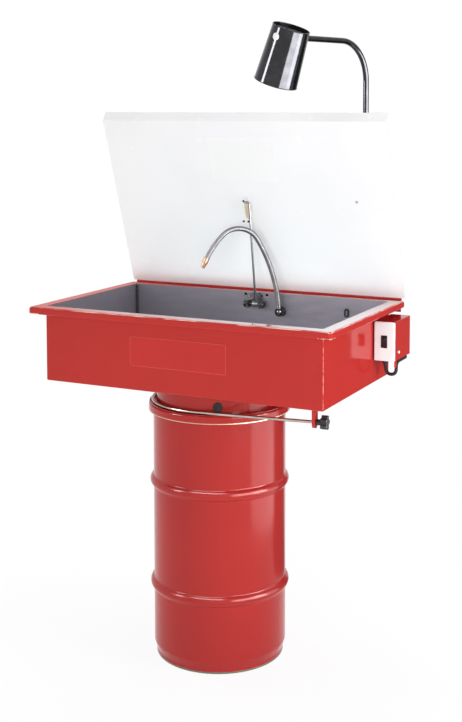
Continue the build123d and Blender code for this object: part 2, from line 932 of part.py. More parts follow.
def make_prop_knobs():
    """Round nuts on the ends of the pivot pin."""
    inner = prop_knob_inner()
    knobs = []
    for side in (-1, 1):
        start = (side * inner, prop_pin_y, prop_pin_z)
        end = (side * (inner + prop_knob_length), prop_pin_y, prop_pin_z)
        knob = bar(start, end, prop_knob_radius)
        face = knob.faces().sort_by(Axis.X)[-1 if side > 0 else 0]
        knob = fillet(face.edges(), prop_knob_round)
        hole_end = (side * (inner + prop_knob_length / 2 + touch_gap), prop_pin_y, prop_pin_z)
        knobs.append(knob - bar(start, hole_end, prop_pin_radius + hole_gap))
    return knobs


def make_prop_screws():
    """Screws that hold the prop bracket to the rear wall."""
    z = rim_top - prop_screw_below_rim
    y = inner_wall_y - prop_plate
    screws = []
    for x in row(2, prop_screw_span):
        size = (prop_screw_radius, prop_screw_length, prop_screw_head_radius, prop_screw_head)
        screws.append(pan_screw((x, y, z), (0, 1, 0), *size))
    return screws


def make_prop_rod():
    """Rod with an eye on the pivot pin and a hooked top."""
    y, z = opened_point(on_lid(prop_hook_up_lid), lid_under - prop_hook_below_lid)
    x = prop_rod_across
    foot = Vector(x, prop_pin_y, prop_pin_z)
    top = Vector(x, y, z)
    lean = (top - foot).normalized()
    start = foot + lean * (prop_pin_radius + prop_eye_radius) / 2
    tip = Vector(x - prop_hook_length, y, z)
    rod = along(FilletPolyline(start, top, tip, radius=prop_hook_bend), prop_rod_radius)
    left = (x - prop_eye_length / 2, prop_pin_y, prop_pin_z)
    right = (x + prop_eye_length / 2, prop_pin_y, prop_pin_z)
    return rod + bar(left, right, prop_eye_radius) - bar(left, right, prop_pin_radius + running_gap)


def link_base():
    """Height of the underside of the link's plate on the shut lid."""
    return lid_under - link_plate_sheet


def make_link_plate():
    """Small plate under the lid that carries the fusible link on two posts."""
    x = link_plate_across
    half = link_plate_width / 2
    y = on_lid(link_plate_up_lid)
    reach = link_plate_length / 2
    plate = block((x - half, y - reach, link_base()), (x + half, y + reach, lid_under))
    for up_lid in link_post_places():
        spot = on_lid(up_lid)
        low = (link_across, spot, link_base() - link_post_height)
        plate += bar(low, (link_across, spot, lid_under), link_post_radius)
    for x, up_lid in link_screw_places:
        plate -= lid_hole(x, on_lid(up_lid), link_screw_radius)
    return opened(plate)


def link_post_places():
    """Places of the link's posts up the lid."""
    reach = link_length / 2 - link_post_inset
    return (link_up_lid - reach, link_up_lid + reach)


def make_fusible_link():
    """Thin link that parts in a fire and lets the lid fall shut."""
    y = on_lid(link_up_lid)
    top = link_base() - link_post_height
    plane = Plane(origin=(link_across, y, top - link_sheet))
    strip = extrude(plane * (Rot(0, 0, 90) * SlotOverall(link_length, link_width)), link_sheet)
    return opened(strip)


def make_link_screws():
    """Screws that hold the link's plate to the lid."""
    size = (link_screw_radius, link_plate_sheet + lid_sheet, link_screw_head_radius, link_screw_head)
    seats = [(x, on_lid(up_lid), link_base()) for x, up_lid in link_screw_places]
    return [opened(pan_screw(seat, (0, 0, 1), *size)) for seat in seats]


# Spout


def make_spout_fitting():
    """Through-wall fitting with a cup for the spout's ball."""
    x = spout_across
    z = spout_z
    flange_front = inner_wall_y - spout_flange
    cup_front = flange_front - spout_cup_length
    back = wall_y + spout_neck_length
    fitting = bar((x, flange_front, z), (x, inner_wall_y, z), spout_flange_radius)
    fitting = fillet(fitting.faces().sort_by(Axis.Y)[0].edges(), spout_flange_round)
    fitting += bar((x, cup_front, z), (x, flange_front, z), spout_cup_radius)
    fitting += bar((x, inner_wall_y, z), (x, back, z), spout_neck_radius)
    fitting -= Pos(x, ball_y, z) * Sphere(ball_radius + touch_gap)
    slot = spout_hose_radius + spout_slot_gap
    fitting -= block(
        (x - slot, cup_front - past, z - slot),
        (x + slot, ball_y + slot, z + spout_cup_radius + past),
    )
    return fitting - bar((x, cup_front - past, z), (x, back + past, z), spout_bore)


def make_spout_locknut():
    """Lock nut of the spout fitting behind the wall."""
    start = (spout_across, wall_y, spout_z)
    end = (spout_across, wall_y + spout_nut_length, spout_z)
    return hexagon(start, end, spout_nut_radius) - bar(start, end, spout_neck_radius + hole_gap)


def elbow_y():
    """Depth of the supply hose behind the rear wall."""
    return wall_y + spout_nut_length + touch_gap + elbow_length - elbow_radius


def make_supply_elbow():
    """Elbow from the fitting's tail down to the supply hose."""
    x = spout_across
    y = elbow_y()
    front = (x, wall_y + spout_nut_length + touch_gap, spout_z)
    back = (x, y + elbow_radius, spout_z)
    low = spout_z - elbow_drop
    elbow = bar(front, back, elbow_radius) + bar((x, y, low), (x, y, spout_z), elbow_leg_radius)
    elbow += bar((x, y, low - barb_length), (x, y, low), hose_bore - barb_gap)
    neck_end = (x, wall_y + spout_neck_length + touch_gap, spout_z)
    elbow -= bar(front, neck_end, spout_neck_radius + hole_gap)
    elbow -= bar(front, (x, y, spout_z), spout_bore)
    return elbow - bar((x, y, low - barb_length), (x, y, spout_z), barb_bore)


def outlet_top():
    """Height of the shoulder under the pump's hose barb."""
    return volute_bottom + outlet_boss_height


def hose_ends():
    """Top and bottom of the supply hose."""
    top = Vector(spout_across, elbow_y(), spout_z - elbow_drop)
    low = Vector(outlet_across, outlet_back, outlet_top())
    return top, low


def make_supply_hose():
    """Hose from the pump, out through the collar and up the back of the tub."""
    top, low = hose_ends()
    z = tub_bottom - hose_run_below_tub
    points = [
        top,
        (top.X, top.Y, top.Z - hose_straight),
        (top.X, top.Y + hose_bow, z),
        (low.X, low.Y, z),
        low,
    ]
    bends = [hose_elbow_bend, hose_back_bend, hose_pump_bend]
    path = FilletPolyline(*points, radius=bends)
    hose = along(path, hose_radius) - along(path, hose_bore)
    fill = hose.volume / (pi * (hose_radius**2 - hose_bore**2) * path.length)
    print("supply hose: bends", bends, "length", round(path.length), "fill", round(fill, 4))
    return hose


def make_hose_clamps():
    """Band clamps at the two ends of the supply hose."""
    top, low = hose_ends()
    reach = hose_clamp_inset + hose_clamp_width
    bands = []
    for start, end in (
        (top - Vector(0, 0, reach), top - Vector(0, 0, hose_clamp_inset)),
        (low + Vector(0, 0, hose_clamp_inset), low + Vector(0, 0, reach)),
    ):
        bands.append(tube(start, end, hose_radius + hole_gap + hose_clamp_sheet, hose_radius + hole_gap))
    return bands


def spout_arcs():
    """Radius and sweep of the spout's arcs, from its ball to its nozzle."""
    return (
        (spout_rise_radius, radians(spout_rise_sweep)),
        (spout_top_radius, radians(spout_top_sweep)),
        (spout_fall_radius, radians(spout_fall_sweep)),
    )


def spout_length():
    """Length of the spout's line from the centre of its ball."""
    return sum(radius * sweep_angle for radius, sweep_angle in spout_arcs())


def spout_frame(distance):
    """Frame on the spout's line at a distance from its ball, with Z along the line."""
    reach = 0.0
    height = 0.0
    heading = radians(spout_start_angle)
    left = distance
    for radius, sweep_angle in spout_arcs():
        turn = min(left / radius, sweep_angle)
        reach += radius * (cos(heading) - cos(heading + turn))
        height += radius * (sin(heading + turn) - sin(heading))
        heading += turn
        left -= turn * radius
        if left <= 0:
            break
    aim = radians(spout_turn)
    ahead = Vector(-cos(aim), -sin(aim), 0)
    origin = Vector(spout_across, ball_y, spout_z) + ahead * reach + Vector(0, 0, height)
    tangent = ahead * sin(heading) + Vector(0, 0, cos(heading))
    return Plane(origin=origin, x_dir=ahead.cross(Vector(0, 0, 1)), z_dir=tangent)


def make_spout_ball():
    """Ball at the root of the spout, with a short neck."""
    root = spout_frame(spout_root)
    ball = Pos(spout_across, ball_y, spout_z) * Sphere(ball_radius)
    ball += root * bar((0, 0, -spout_root), (0, 0, 0), spout_hose_radius)
    return ball - root * bar((0, 0, -spout_root), (0, 0, past), spout_hose_bore)


def make_spout_hose():
    """Bendable ribbed metal hose of the spout, with its bore."""
    span = spout_length() - spout_root
    count = round(span / spout_rib_pitch)
    pitch = span / count
    crest = spout_hose_radius
    root = spout_hose_radius - spout_rib_depth
    shape = tuple(zip(spout_rib_shares, (root, crest, crest, root)))
    rings = []
    bores = []
    for i in range(count):
        for share, radius in shape:
            frame = spout_frame(spout_root + (i + share) * pitch)
            rings.append(frame * Circle(radius))
        bores.append(spout_frame(spout_root + i * pitch) * Circle(spout_hose_bore))
    end = spout_frame(spout_root + span)
    rings.append(end * Circle(root))
    bores.append(end * Circle(spout_hose_bore))
    print("spout hose: ribs", count, "length", round(span), "least radius", spout_top_radius)
    return loft(rings, ruled=True) - loft(bores, ruled=True)


def make_spout_nozzle():
    """Brass nozzle on the end of the spout."""
    length = nozzle_ferrule_length + nozzle_tip_length
    side = [
        (nozzle_bore, 0),
        (nozzle_ferrule_radius, 0),
        (nozzle_ferrule_radius, nozzle_ferrule_length),
        (nozzle_step_radius, nozzle_ferrule_length + nozzle_step_length),
        (nozzle_tip_radius, length),
        (nozzle_bore, length),
    ]
    turned = revolve(Plane.XZ * make_face(Polyline(*side, close=True)), Axis.Z)
    return spout_frame(spout_length()) * turned


# Pump


def at_pump(z):
    """Point on the pump's axis."""
    return Vector(pump_across, pump_back, z)


def make_pump_screen():
    """Slotted inlet screen that the pump stands on."""
    top = drum_floor + screen_height
    screen = tube(at_pump(drum_floor), at_pump(top), screen_radius, screen_radius - screen_wall)
    slot_z = drum_floor + screen_height / 2
    for i in range(screen_slots):
        cutter = Pos(screen_radius, 0, 0) * Box(4 * screen_wall, screen_slot_width, screen_slot_height)
        screen -= Pos(pump_across, pump_back, slot_z) * Rot(0, 0, i * 360 / screen_slots) * cutter
    return screen


def make_pump_volute():
    """Pump casing with its inlet eye and its upright outlet."""
    top = volute_bottom + volute_height
    casing = bar(at_pump(volute_bottom), at_pump(top), volute_radius)
    spot = Vector(outlet_across, outlet_back, 0)
    low = spot + Vector(0, 0, volute_bottom)
    shoulder = spot + Vector(0, 0, outlet_top())
    casing += bar(low, shoulder, outlet_boss_radius)
    casing += bar(shoulder, shoulder + Vector(0, 0, barb_length), hose_bore - barb_gap)
    room_low = volute_bottom + volute_wall
    room_top = top - volute_wall
    casing -= bar(at_pump(room_low), at_pump(room_top), volute_room_radius)
    casing -= bar(at_pump(volute_bottom), at_pump(room_low + past), volute_eye_radius)
    casing -= bar(at_pump(room_top - past), at_pump(top), shaft_radius + shaft_hole_gap)
    middle = (room_low + room_top) / 2
    casing -= bar(at_pump(middle), spot + Vector(0, 0, middle), spout_bore)
    return casing - bar(spot + Vector(0, 0, middle), shoulder + Vector(0, 0, barb_length), barb_bore)


def make_pump_motor_case():
    """Motor case on top of the pump casing, with the lower bearing's seat."""
    case = bar(at_pump(motor_bottom), at_pump(cap_bottom), motor_radius)
    case -= bar(at_pump(motor_bottom + motor_floor), at_pump(cap_bottom), motor_radius - motor_wall)
    return case - bar(at_pump(motor_bottom), at_pump(motor_bottom + motor_floor), bearing_radius + hole_gap)


def make_pump_stator():
    """Laminated ring round the motor's rotor."""
    low = motor_bottom + stator_floor
    outer = motor_radius - motor_wall - hole_gap
    return tube(at_pump(low), at_pump(low + stator_height), outer, stator_bore)


def make_pump_bearing_plate():
    """Plate that holds the upper bearing."""
    low = motor_bottom + bearing_plate_floor
    outer = motor_radius - motor_wall - hole_gap
    return tube(at_pump(low), at_pump(low + bearing_plate_height), outer, bearing_radius + hole_gap)


def make_pump_bearings():
    """Plain bearings of the pump shaft."""
    rings = []
    bore = shaft_radius + running_gap
    for low in (motor_bottom, motor_bottom + bearing_plate_floor):
        rings.append(tube(at_pump(low), at_pump(low + bearing_width), bearing_radius, bore))
    return rings


def make_pump_cap():
    """Domed cap of the motor with the lead's gland on top."""
    top = cap_bottom + cap_height
    cap = bar(at_pump(cap_bottom), at_pump(top), motor_radius)
    cap = fillet(cap.faces().sort_by(Axis.Z)[-1].edges(), cap_round)
    cap += bar(at_pump(top), at_pump(top + cap_gland_height), cap_gland_radius)
    cap -= bar(at_pump(cap_bottom), at_pump(top - cap_wall), motor_radius - motor_wall - cap_round)
    return cap - bar(at_pump(top), at_pump(top + cap_gland_height), lead_radius + lead_gap)


def make_pump_rotor():
    """Shaft with the motor's rotor and the impeller."""
    low = volute_bottom + volute_wall + impeller_lift
    shaft = bar(at_pump(low), at_pump(motor_bottom + shaft_top), shaft_radius)
    core_low = motor_bottom + stator_floor + (stator_height - rotor_height) / 2
    core = bar(at_pump(core_low), at_pump(core_low + rotor_height), stator_bore - rotor_gap)
    disc = bar(at_pump(low), at_pump(low + impeller_disc), impeller_radius)
    rotor = shaft + core + disc
    vane_length = impeller_radius - vane_start
    for i in range(vane_count):
        middle = Pos(vane_start + vane_length / 2, 0, impeller_disc / 2 + vane_height / 2)
        vane = middle * Box(vane_length, vane_thickness, impeller_disc + vane_height)
        turn = Rot(0, 0, i * 360 / vane_count)
        rotor += Pos(pump_across, pump_back, low) * turn * vane
    wheel = bar(at_pump(low), at_pump(low + impeller_disc + vane_height), impeller_radius)
    keep = wheel + shaft + core
    return rotor & keep


def make_pump_lead():
    """Lead from the box's gland, looped below the box, round the tub's corner and down to the pump."""
    gland_x = box_left + gland_across - box_from_wall
    gland_y = box_front + gland_back
    start = (gland_x, gland_y, box_bottom - gland_length)
    loop_low = box_bottom - lead_loop_drop
    tab_x = box_right - lead_tab_inset
    tab_y = box_front + lead_tab_back
    under = box_bottom - lead_radius - lead_box_gap
    behind = wall_y + lead_radius + lead_wall_gap
    run = tub_bottom - lead_run_below_tub
    end_z = cap_bottom + cap_height
    points = [
        start,
        (gland_x, gland_y, loop_low),
        (tab_x, tab_y, loop_low),
        (tab_x, tab_y, under),
        (tab_x, behind, under),
        (pump_across, behind, under),
        (pump_across, behind, run),
        (pump_across, pump_back, run),
        (pump_across, pump_back, end_z),
    ]
    bends = [
        lead_loop_bend,
        lead_loop_bend,
        lead_tab_bend,
        lead_corner_bend,
        lead_drop_bend,
        lead_corner_bend,
        lead_pump_bend,
    ]
    path = FilletPolyline(*points, radius=bends)
    lead = along(path, lead_radius)
    fill = lead.volume / (pi * lead_radius**2 * path.length)
    print("pump lead: bends", bends, "length", round(path.length), "fill", round(fill, 4))
    return lead


# Switch box


def make_box_body():
    """Folded steel box, open at the front, with a tab below its front corner."""
    box = block((box_left, box_front, box_bottom), (box_right, box_back, box_top))
    box = fillet(box.edges().filter_by(Axis.Y), box_sheet)
    box -= block(
        (box_left + box_sheet, box_front - past, box_bottom + box_sheet),
        (box_right - box_sheet, box_back - box_sheet, box_top - box_sheet),
    )
    end = box_front + tab_width / 2
    round_z = box_bottom - tab_length + tab_width / 2
    inner = box_right - box_sheet
    tab = block((inner, box_front, round_z), (box_right, box_front + tab_width, box_bottom + 2 * box_sheet))
    tab += bar((inner, end, round_z), (box_right, end, round_z), tab_width / 2)
    box += tab
    gland_x = box_left + gland_across - box_from_wall
    gland_y = box_front + gland_back
    low = (gland_x, gland_y, box_bottom - past)
    box -= bar(low, (gland_x, gland_y, box_bottom + box_sheet + past), gland_thread_radius + hole_gap)
    inlet = (box_left + inlet_across, box_back - box_sheet - past, box_bottom + inlet_up)
    box -= bar(inlet, (inlet[0], box_back + past, inlet[2]), inlet_thread_radius + hole_gap)
    y = box_front + side_screw_back
    z = box_bottom + side_screw_up
    return box - bar((inner - past, y, z), (box_right + past, y, z), side_screw_radius + hole_gap)


def make_box_spacers():
    """Spacers that stand the box off the tub's end wall."""
    spacers = []
    for y in (box_front + spacer_inset, box_back - spacer_inset):
        spacers.append(bar((wall_x, y, switch_z), (box_left, y, switch_z), spacer_radius))
    return spacers


def make_box_plate():
    """Pan-shaped cover plate with the switch's cut-out."""
    half = plate_width / 2
    tall = plate_height / 2
    plate = block(
        (switch_x - half, plate_front, switch_z - tall),
        (switch_x + half, box_front, switch_z + tall),
    )
    plate = fillet(plate.edges().filter_by(Axis.Y), plate_round)
    plate = fillet(plate.faces().sort_by(Axis.Y)[0].edges(), plate_round)
    inset = plate_wall
    room = block(
        (switch_x - half + inset, plate_front + inset, switch_z - tall + inset),
        (switch_x + half - inset, box_front, switch_z + tall - inset),
    )
    plate -= fillet(room.edges().filter_by(Axis.Y), plate_round - inset)
    wide = switch_width / 2 - switch_body_inset + hole_gap
    high = switch_height / 2 - switch_body_inset + hole_gap
    return plate - block(
        (switch_x - wide, plate_front - past, switch_z - high),
        (switch_x + wide, box_front + past, switch_z + high),
    )


def make_box_screw():
    """Screw on the box's right side."""
    seat = (box_right, box_front + side_screw_back, box_bottom + side_screw_up)
    size = (side_screw_radius, side_screw_length, side_screw_head_radius, side_screw_head)
    return pan_screw(seat, (-1, 0, 0), *size)


def rocker_pivot():
    """Centre of the rocker's pivot."""
    return Vector(switch_x, plate_front + rocker_pivot_depth, switch_z)


def make_switch_body():
    """Black switch body with a pocket for the rocker."""
    wide = switch_width / 2
    high = switch_height / 2
    bezel = block(
        (switch_x - wide, plate_front - switch_lift, switch_z - high),
        (switch_x + wide, plate_front, switch_z + high),
    )
    bezel = fillet(bezel.faces().sort_by(Axis.Y)[0].edges(), switch_lift / 2)
    inset = switch_body_inset
    body = bezel + block(
        (switch_x - wide + inset, plate_front, switch_z - high + inset),
        (switch_x + wide - inset, plate_front + switch_body_depth, switch_z + high - inset),
    )
    pivot = rocker_pivot()
    across = rocker_width / 2 + rocker_gap
    tall = rocker_height / 2 + 2 * rocker_gap
    body -= block(
        (pivot.X - across, plate_front - switch_lift - past, pivot.Z - tall),
        (pivot.X + across, plate_front + rocker_pocket_depth, pivot.Z + tall),
    )
    reach = rocker_width / 2 + rocker_pin_reach + 2 * rocker_gap
    hole = rocker_pin_radius + running_gap
    return body - bar(pivot - Vector(reach, 0, 0), pivot + Vector(reach, 0, 0), hole)


def make_switch_rocker():
    """Rocker with a dished face, tipped to its off side."""
    tall = rocker_height / 2
    heel = rocker_heel_height / 2
    half = rocker_width / 2
    face = make_face(
        [
            ThreePointArc((-rocker_reach, -tall), (rocker_dish - rocker_reach, 0), (-rocker_reach, tall)),
            Line((-rocker_reach, tall), (rocker_back, heel)),
            Line((rocker_back, heel), (rocker_back, -heel)),
            Line((rocker_back, -heel), (-rocker_reach, -tall)),
        ]
    )
    body = Pos(-half, 0, 0) * extrude(Plane.YZ * face, rocker_width)
    reach = half + rocker_pin_reach
    body += bar((-reach, 0, 0), (reach, 0, 0), rocker_pin_radius)
    return Pos(*rocker_pivot()) * Rot(rocker_tilt, 0, 0) * body


def make_lead_gland():
    """Gland under the box where the pump lead leaves."""
    x = box_left + gland_across - box_from_wall
    y = box_front + gland_back
    low = (x, y, box_bottom - gland_length)
    shoulder = (x, y, box_bottom - gland_flange)
    top = (x, y, box_bottom)
    inside = (x, y, box_bottom + gland_thread_length)
    gland = bar(low, shoulder, gland_nose_radius) + hexagon(shoulder, top, gland_radius)
    gland += bar(top, inside, gland_thread_radius)
    return gland - bar(shoulder, inside, gland_core_radius)


def make_mains_inlet():
    """Bare cable gland on the back of the box."""
    x = box_left + inlet_across
    z = box_bottom + inlet_up
    inside = (x, box_back - inlet_thread_length, z)
    face = (x, box_back, z)
    middle = (x, box_back + inlet_length / 2, z)
    end = (x, box_back + inlet_length, z)
    gland = bar(inside, face, inlet_thread_radius) + hexagon(face, middle, inlet_radius)
    gland += bar(middle, end, inlet_nose_radius)
    return gland - bar(inside, end, inlet_bore)


# Lamp


def make_lamp_bracket():
    """Angle bracket behind the tub that carries the lamp."""
    x = lamp_across
    half = lamp_plate_width / 2
    low = lamp_shelf_top - lamp_shelf_sheet
    back = wall_y + lamp_plate
    plate = block((x - half, wall_y, lamp_shelf_top - lamp_plate_height), (x + half, back, lamp_shelf_top))
    shelf = block((x - half, wall_y, low), (x + half, lamp_back + lamp_shelf_overhang, lamp_shelf_top))
    corners = shelf.edges().filter_by(Axis.Z).sort_by(Axis.Y)[2:]
    return plate + fillet(corners, lamp_shelf_round)


def make_lamp_base():
    """Socket on the bracket that the lamp's post turns in."""
    low = (lamp_across, lamp_back, lamp_shelf_top)
    top = (lamp_across, lamp_back, lamp_shelf_top + lamp_base_height)
    cup = bar(low, top, lamp_base_radius)
    cup = fillet(cup.faces().sort_by(Axis.Z)[-1].edges(), lamp_base_round)
    return cup - bar(low, top, lamp_tube_radius + running_gap)


def lamp_heading():
    """Direction of the lamp's arm from its post."""
    turn = radians(lamp_arm_turn)
    return Vector(-sin(turn), -cos(turn), 0)


def shade_wall_at(below_top):
    """Outer radius of the shade at a distance below its top."""
    return shade_top_radius + (shade_mouth_radius - shade_top_radius) * below_top / shade_length


def stem_nut_face():
    """Distance from the shade's axis to the face of the nut outside it."""
    return shade_wall_at(shade_above_arm) + stem_nut_clear


def make_lamp_arm():
    """Bent tube of the lamp: an upright post and a level arm."""
    ahead = lamp_heading()
    foot = Vector(lamp_across, lamp_back, lamp_shelf_top + touch_gap)
    corner = Vector(lamp_across, lamp_back, lamp_arm_z)
    end = corner + ahead * (lamp_reach - stem_nut_face() - stem_nut_length)
    path = FilletPolyline(foot, corner, end, radius=lamp_bend)
    return along(path, lamp_tube_radius) - along(path, lamp_tube_radius - lamp_tube_wall)


def shade_frame():
    """Frame of the shade: X along the arm, Z up its axis, origin where they cross."""
    ahead = lamp_heading()
    side = Vector(ahead.Y, -ahead.X, 0)
    roll = radians(shade_roll)
    up = Vector(0, 0, 1) * cos(roll) - side * sin(roll)
    origin = Vector(lamp_across, lamp_back, lamp_arm_z) + ahead * lamp_reach
    return Plane(origin=origin, x_dir=ahead, z_dir=up)


def make_lamp_stem():
    """Hollow stem on the end of the arm, with the nut and washer that hold the shade."""
    nut = -stem_nut_face()
    washer = stem_washer_clear - shade_wall_at(shade_above_arm)
    inner = washer + stem_washer + stem_end
    stem = bar((nut, 0, 0), (inner, 0, 0), stem_radius)
    stem += bar((nut - stem_nut_length, 0, 0), (nut, 0, 0), stem_nut_radius)
    stem += bar((washer, 0, 0), (washer + stem_washer, 0, 0), stem_washer_radius)
    stem -= bar((nut - stem_nut_length, 0, 0), (inner, 0, 0), stem_bore)
    return shade_frame() * stem


def make_lamp_shade():
    """Tapered shade, open at both ends, with rolled edges and a hole for the stem."""
    top = shade_above_arm
    mouth = top - shade_length
    side = [
        (shade_top_radius, top),
        (shade_mouth_radius, mouth),
        (shade_mouth_radius - shade_wall, mouth),
        (shade_top_radius - shade_wall, top),
    ]
    section = make_face(Polyline(*side, close=True))
    for radius, z in ((shade_top_radius, top), (shade_mouth_radius, mouth)):
        section += Pos(radius - shade_wall / 2, z) * Circle(shade_bead_radius)
    shade = revolve(Plane.XZ * section, Axis.Z)
    hole = stem_radius + running_gap
    return shade_frame() * (shade - bar((-shade_mouth_radius, 0, 0), (0, 0, 0), hole))


def make_lamp_socket():
    """Bulb holder under a slotted disc inside the shade."""
    top = shade_above_arm - baffle_below_top
    low = top - baffle_sheet
    edge = shade_wall_at(baffle_below_top) - shade_wall - hole_gap
    disc = bar((0, 0, low), (0, 0, top), edge)
    slot = SlotOverall(baffle_slot_length, baffle_slot_width)
    slots = Sketch() + PolarLocations(baffle_slot_ring, baffle_slots) * slot
    disc -= extrude(Plane(origin=(0, 0, low)) * slots, baffle_sheet)
    cup = bar((0, 0, low - socket_length), (0, 0, low), socket_radius)
    cup -= bar((0, 0, low - socket_length), (0, 0, low - socket_roof), bulb_cap_radius + hole_gap)
    return shade_frame() * (disc + cup)


def make_lamp_bulb():
    """Screw-cap bulb with a round glass."""
    top = shade_above_arm - baffle_below_top - baffle_sheet - socket_roof
    glass = bulb_form(0, top) - bulb_form(bulb_wall, top + past)
    return shade_frame() * glass


def bulb_form(inset, top):
    """Solid of the bulb's outside pulled in by the inset, up to a height."""
    neck_radius = bulb_cap_radius - inset
    radius = bulb_radius - inset
    middle = -bulb_centre_below_arm
    turn = radians(bulb_shoulder_angle)
    neck = (neck_radius, -bulb_neck_below_arm)
    shoulder = (radius * cos(turn), middle + radius * sin(turn))
    side = [
        Line((0, top), (neck_radius, top)),
        Line((neck_radius, top), neck),
        Line(neck, shoulder),
        ThreePointArc(shoulder, (radius, middle), (0, middle - radius)),
        Line((0, middle - radius), (0, top)),
    ]
    return revolve(Plane.XZ * make_face(side), Axis.Z)


pieces = {
    "drum": make_drum,
    "tub": make_tub,
    "collar": make_collar,
    "collar_plug": make_collar_plug,
    "collar_sleeves": make_collar_sleeves,
    "wall_grommet": make_wall_grommet,
    "nameplate": make_nameplate,
    "drain_tube": make_drain_tube,
    "drain_strainer": make_drain_strainer,
    "clamp_rod": make_clamp_rod,
    "clamp_bracket": make_clamp_bracket,
    "clamp_knob": make_clamp_knob,
    "lid_panel": make_lid_panel,
    "hinge_leaf": make_hinge_leaf,
    "lid_hinge_leaf": make_lid_hinge_leaf,
    "hinge_pin": make_hinge_pin,
    "hinge_rivets": make_hinge_rivets,
    "lid_rivets": make_lid_rivets,
    "prop_bracket": make_prop_bracket,
    "prop_pin": make_prop_pin,
    "prop_knobs": make_prop_knobs,
    "prop_screws": make_prop_screws,
    "prop_rod": make_prop_rod,
    "link_plate": make_link_plate,
    "fusible_link": make_fusible_link,
    "link_screws": make_link_screws,
    "spout_fitting": make_spout_fitting,
    "spout_locknut": make_spout_locknut,
    "supply_elbow": make_supply_elbow,
    "supply_hose": make_supply_hose,
    "hose_clamps": make_hose_clamps,
    "spout_ball": make_spout_ball,
    "spout_hose": make_spout_hose,
    "spout_nozzle": make_spout_nozzle,
    "pump_screen": make_pump_screen,
    "pump_volute": make_pump_volute,
    "pump_motor_case": make_pump_motor_case,
    "pump_stator": make_pump_stator,
    "pump_bearing_plate": make_pump_bearing_plate,
    "pump_bearings": make_pump_bearings,
    "pump_cap": make_pump_cap,
    "pump_rotor": make_pump_rotor,
    "pump_lead": make_pump_lead,
    "box_body": make_box_body,
    "box_spacers": make_box_spacers,
    "box_plate": make_box_plate,
    "box_screw": make_box_screw,
    "switch_body": make_switch_body,
    "switch_rocker": make_switch_rocker,
    "lead_gland": make_lead_gland,
    "mains_inlet": make_mains_inlet,
    "lamp_bracket": make_lamp_bracket,
    "lamp_base": make_lamp_base,
    "lamp_arm": make_lamp_arm,
    "lamp_stem": make_lamp_stem,
    "lamp_shade": make_lamp_shade,
    "lamp_socket": make_lamp_socket,
    "lamp_bulb": make_lamp_bulb,
}

os.makedirs("parts", exist_ok=True)
for name, make in pieces.items():
    made = make()
    solids = made if isinstance(made, list) else [made]
    group = Compound(children=[solid for part in solids for solid in part.solids()])
    export_step(group, f"parts/{name}.step")
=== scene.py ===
import json
from math import cos, pi, radians, sin

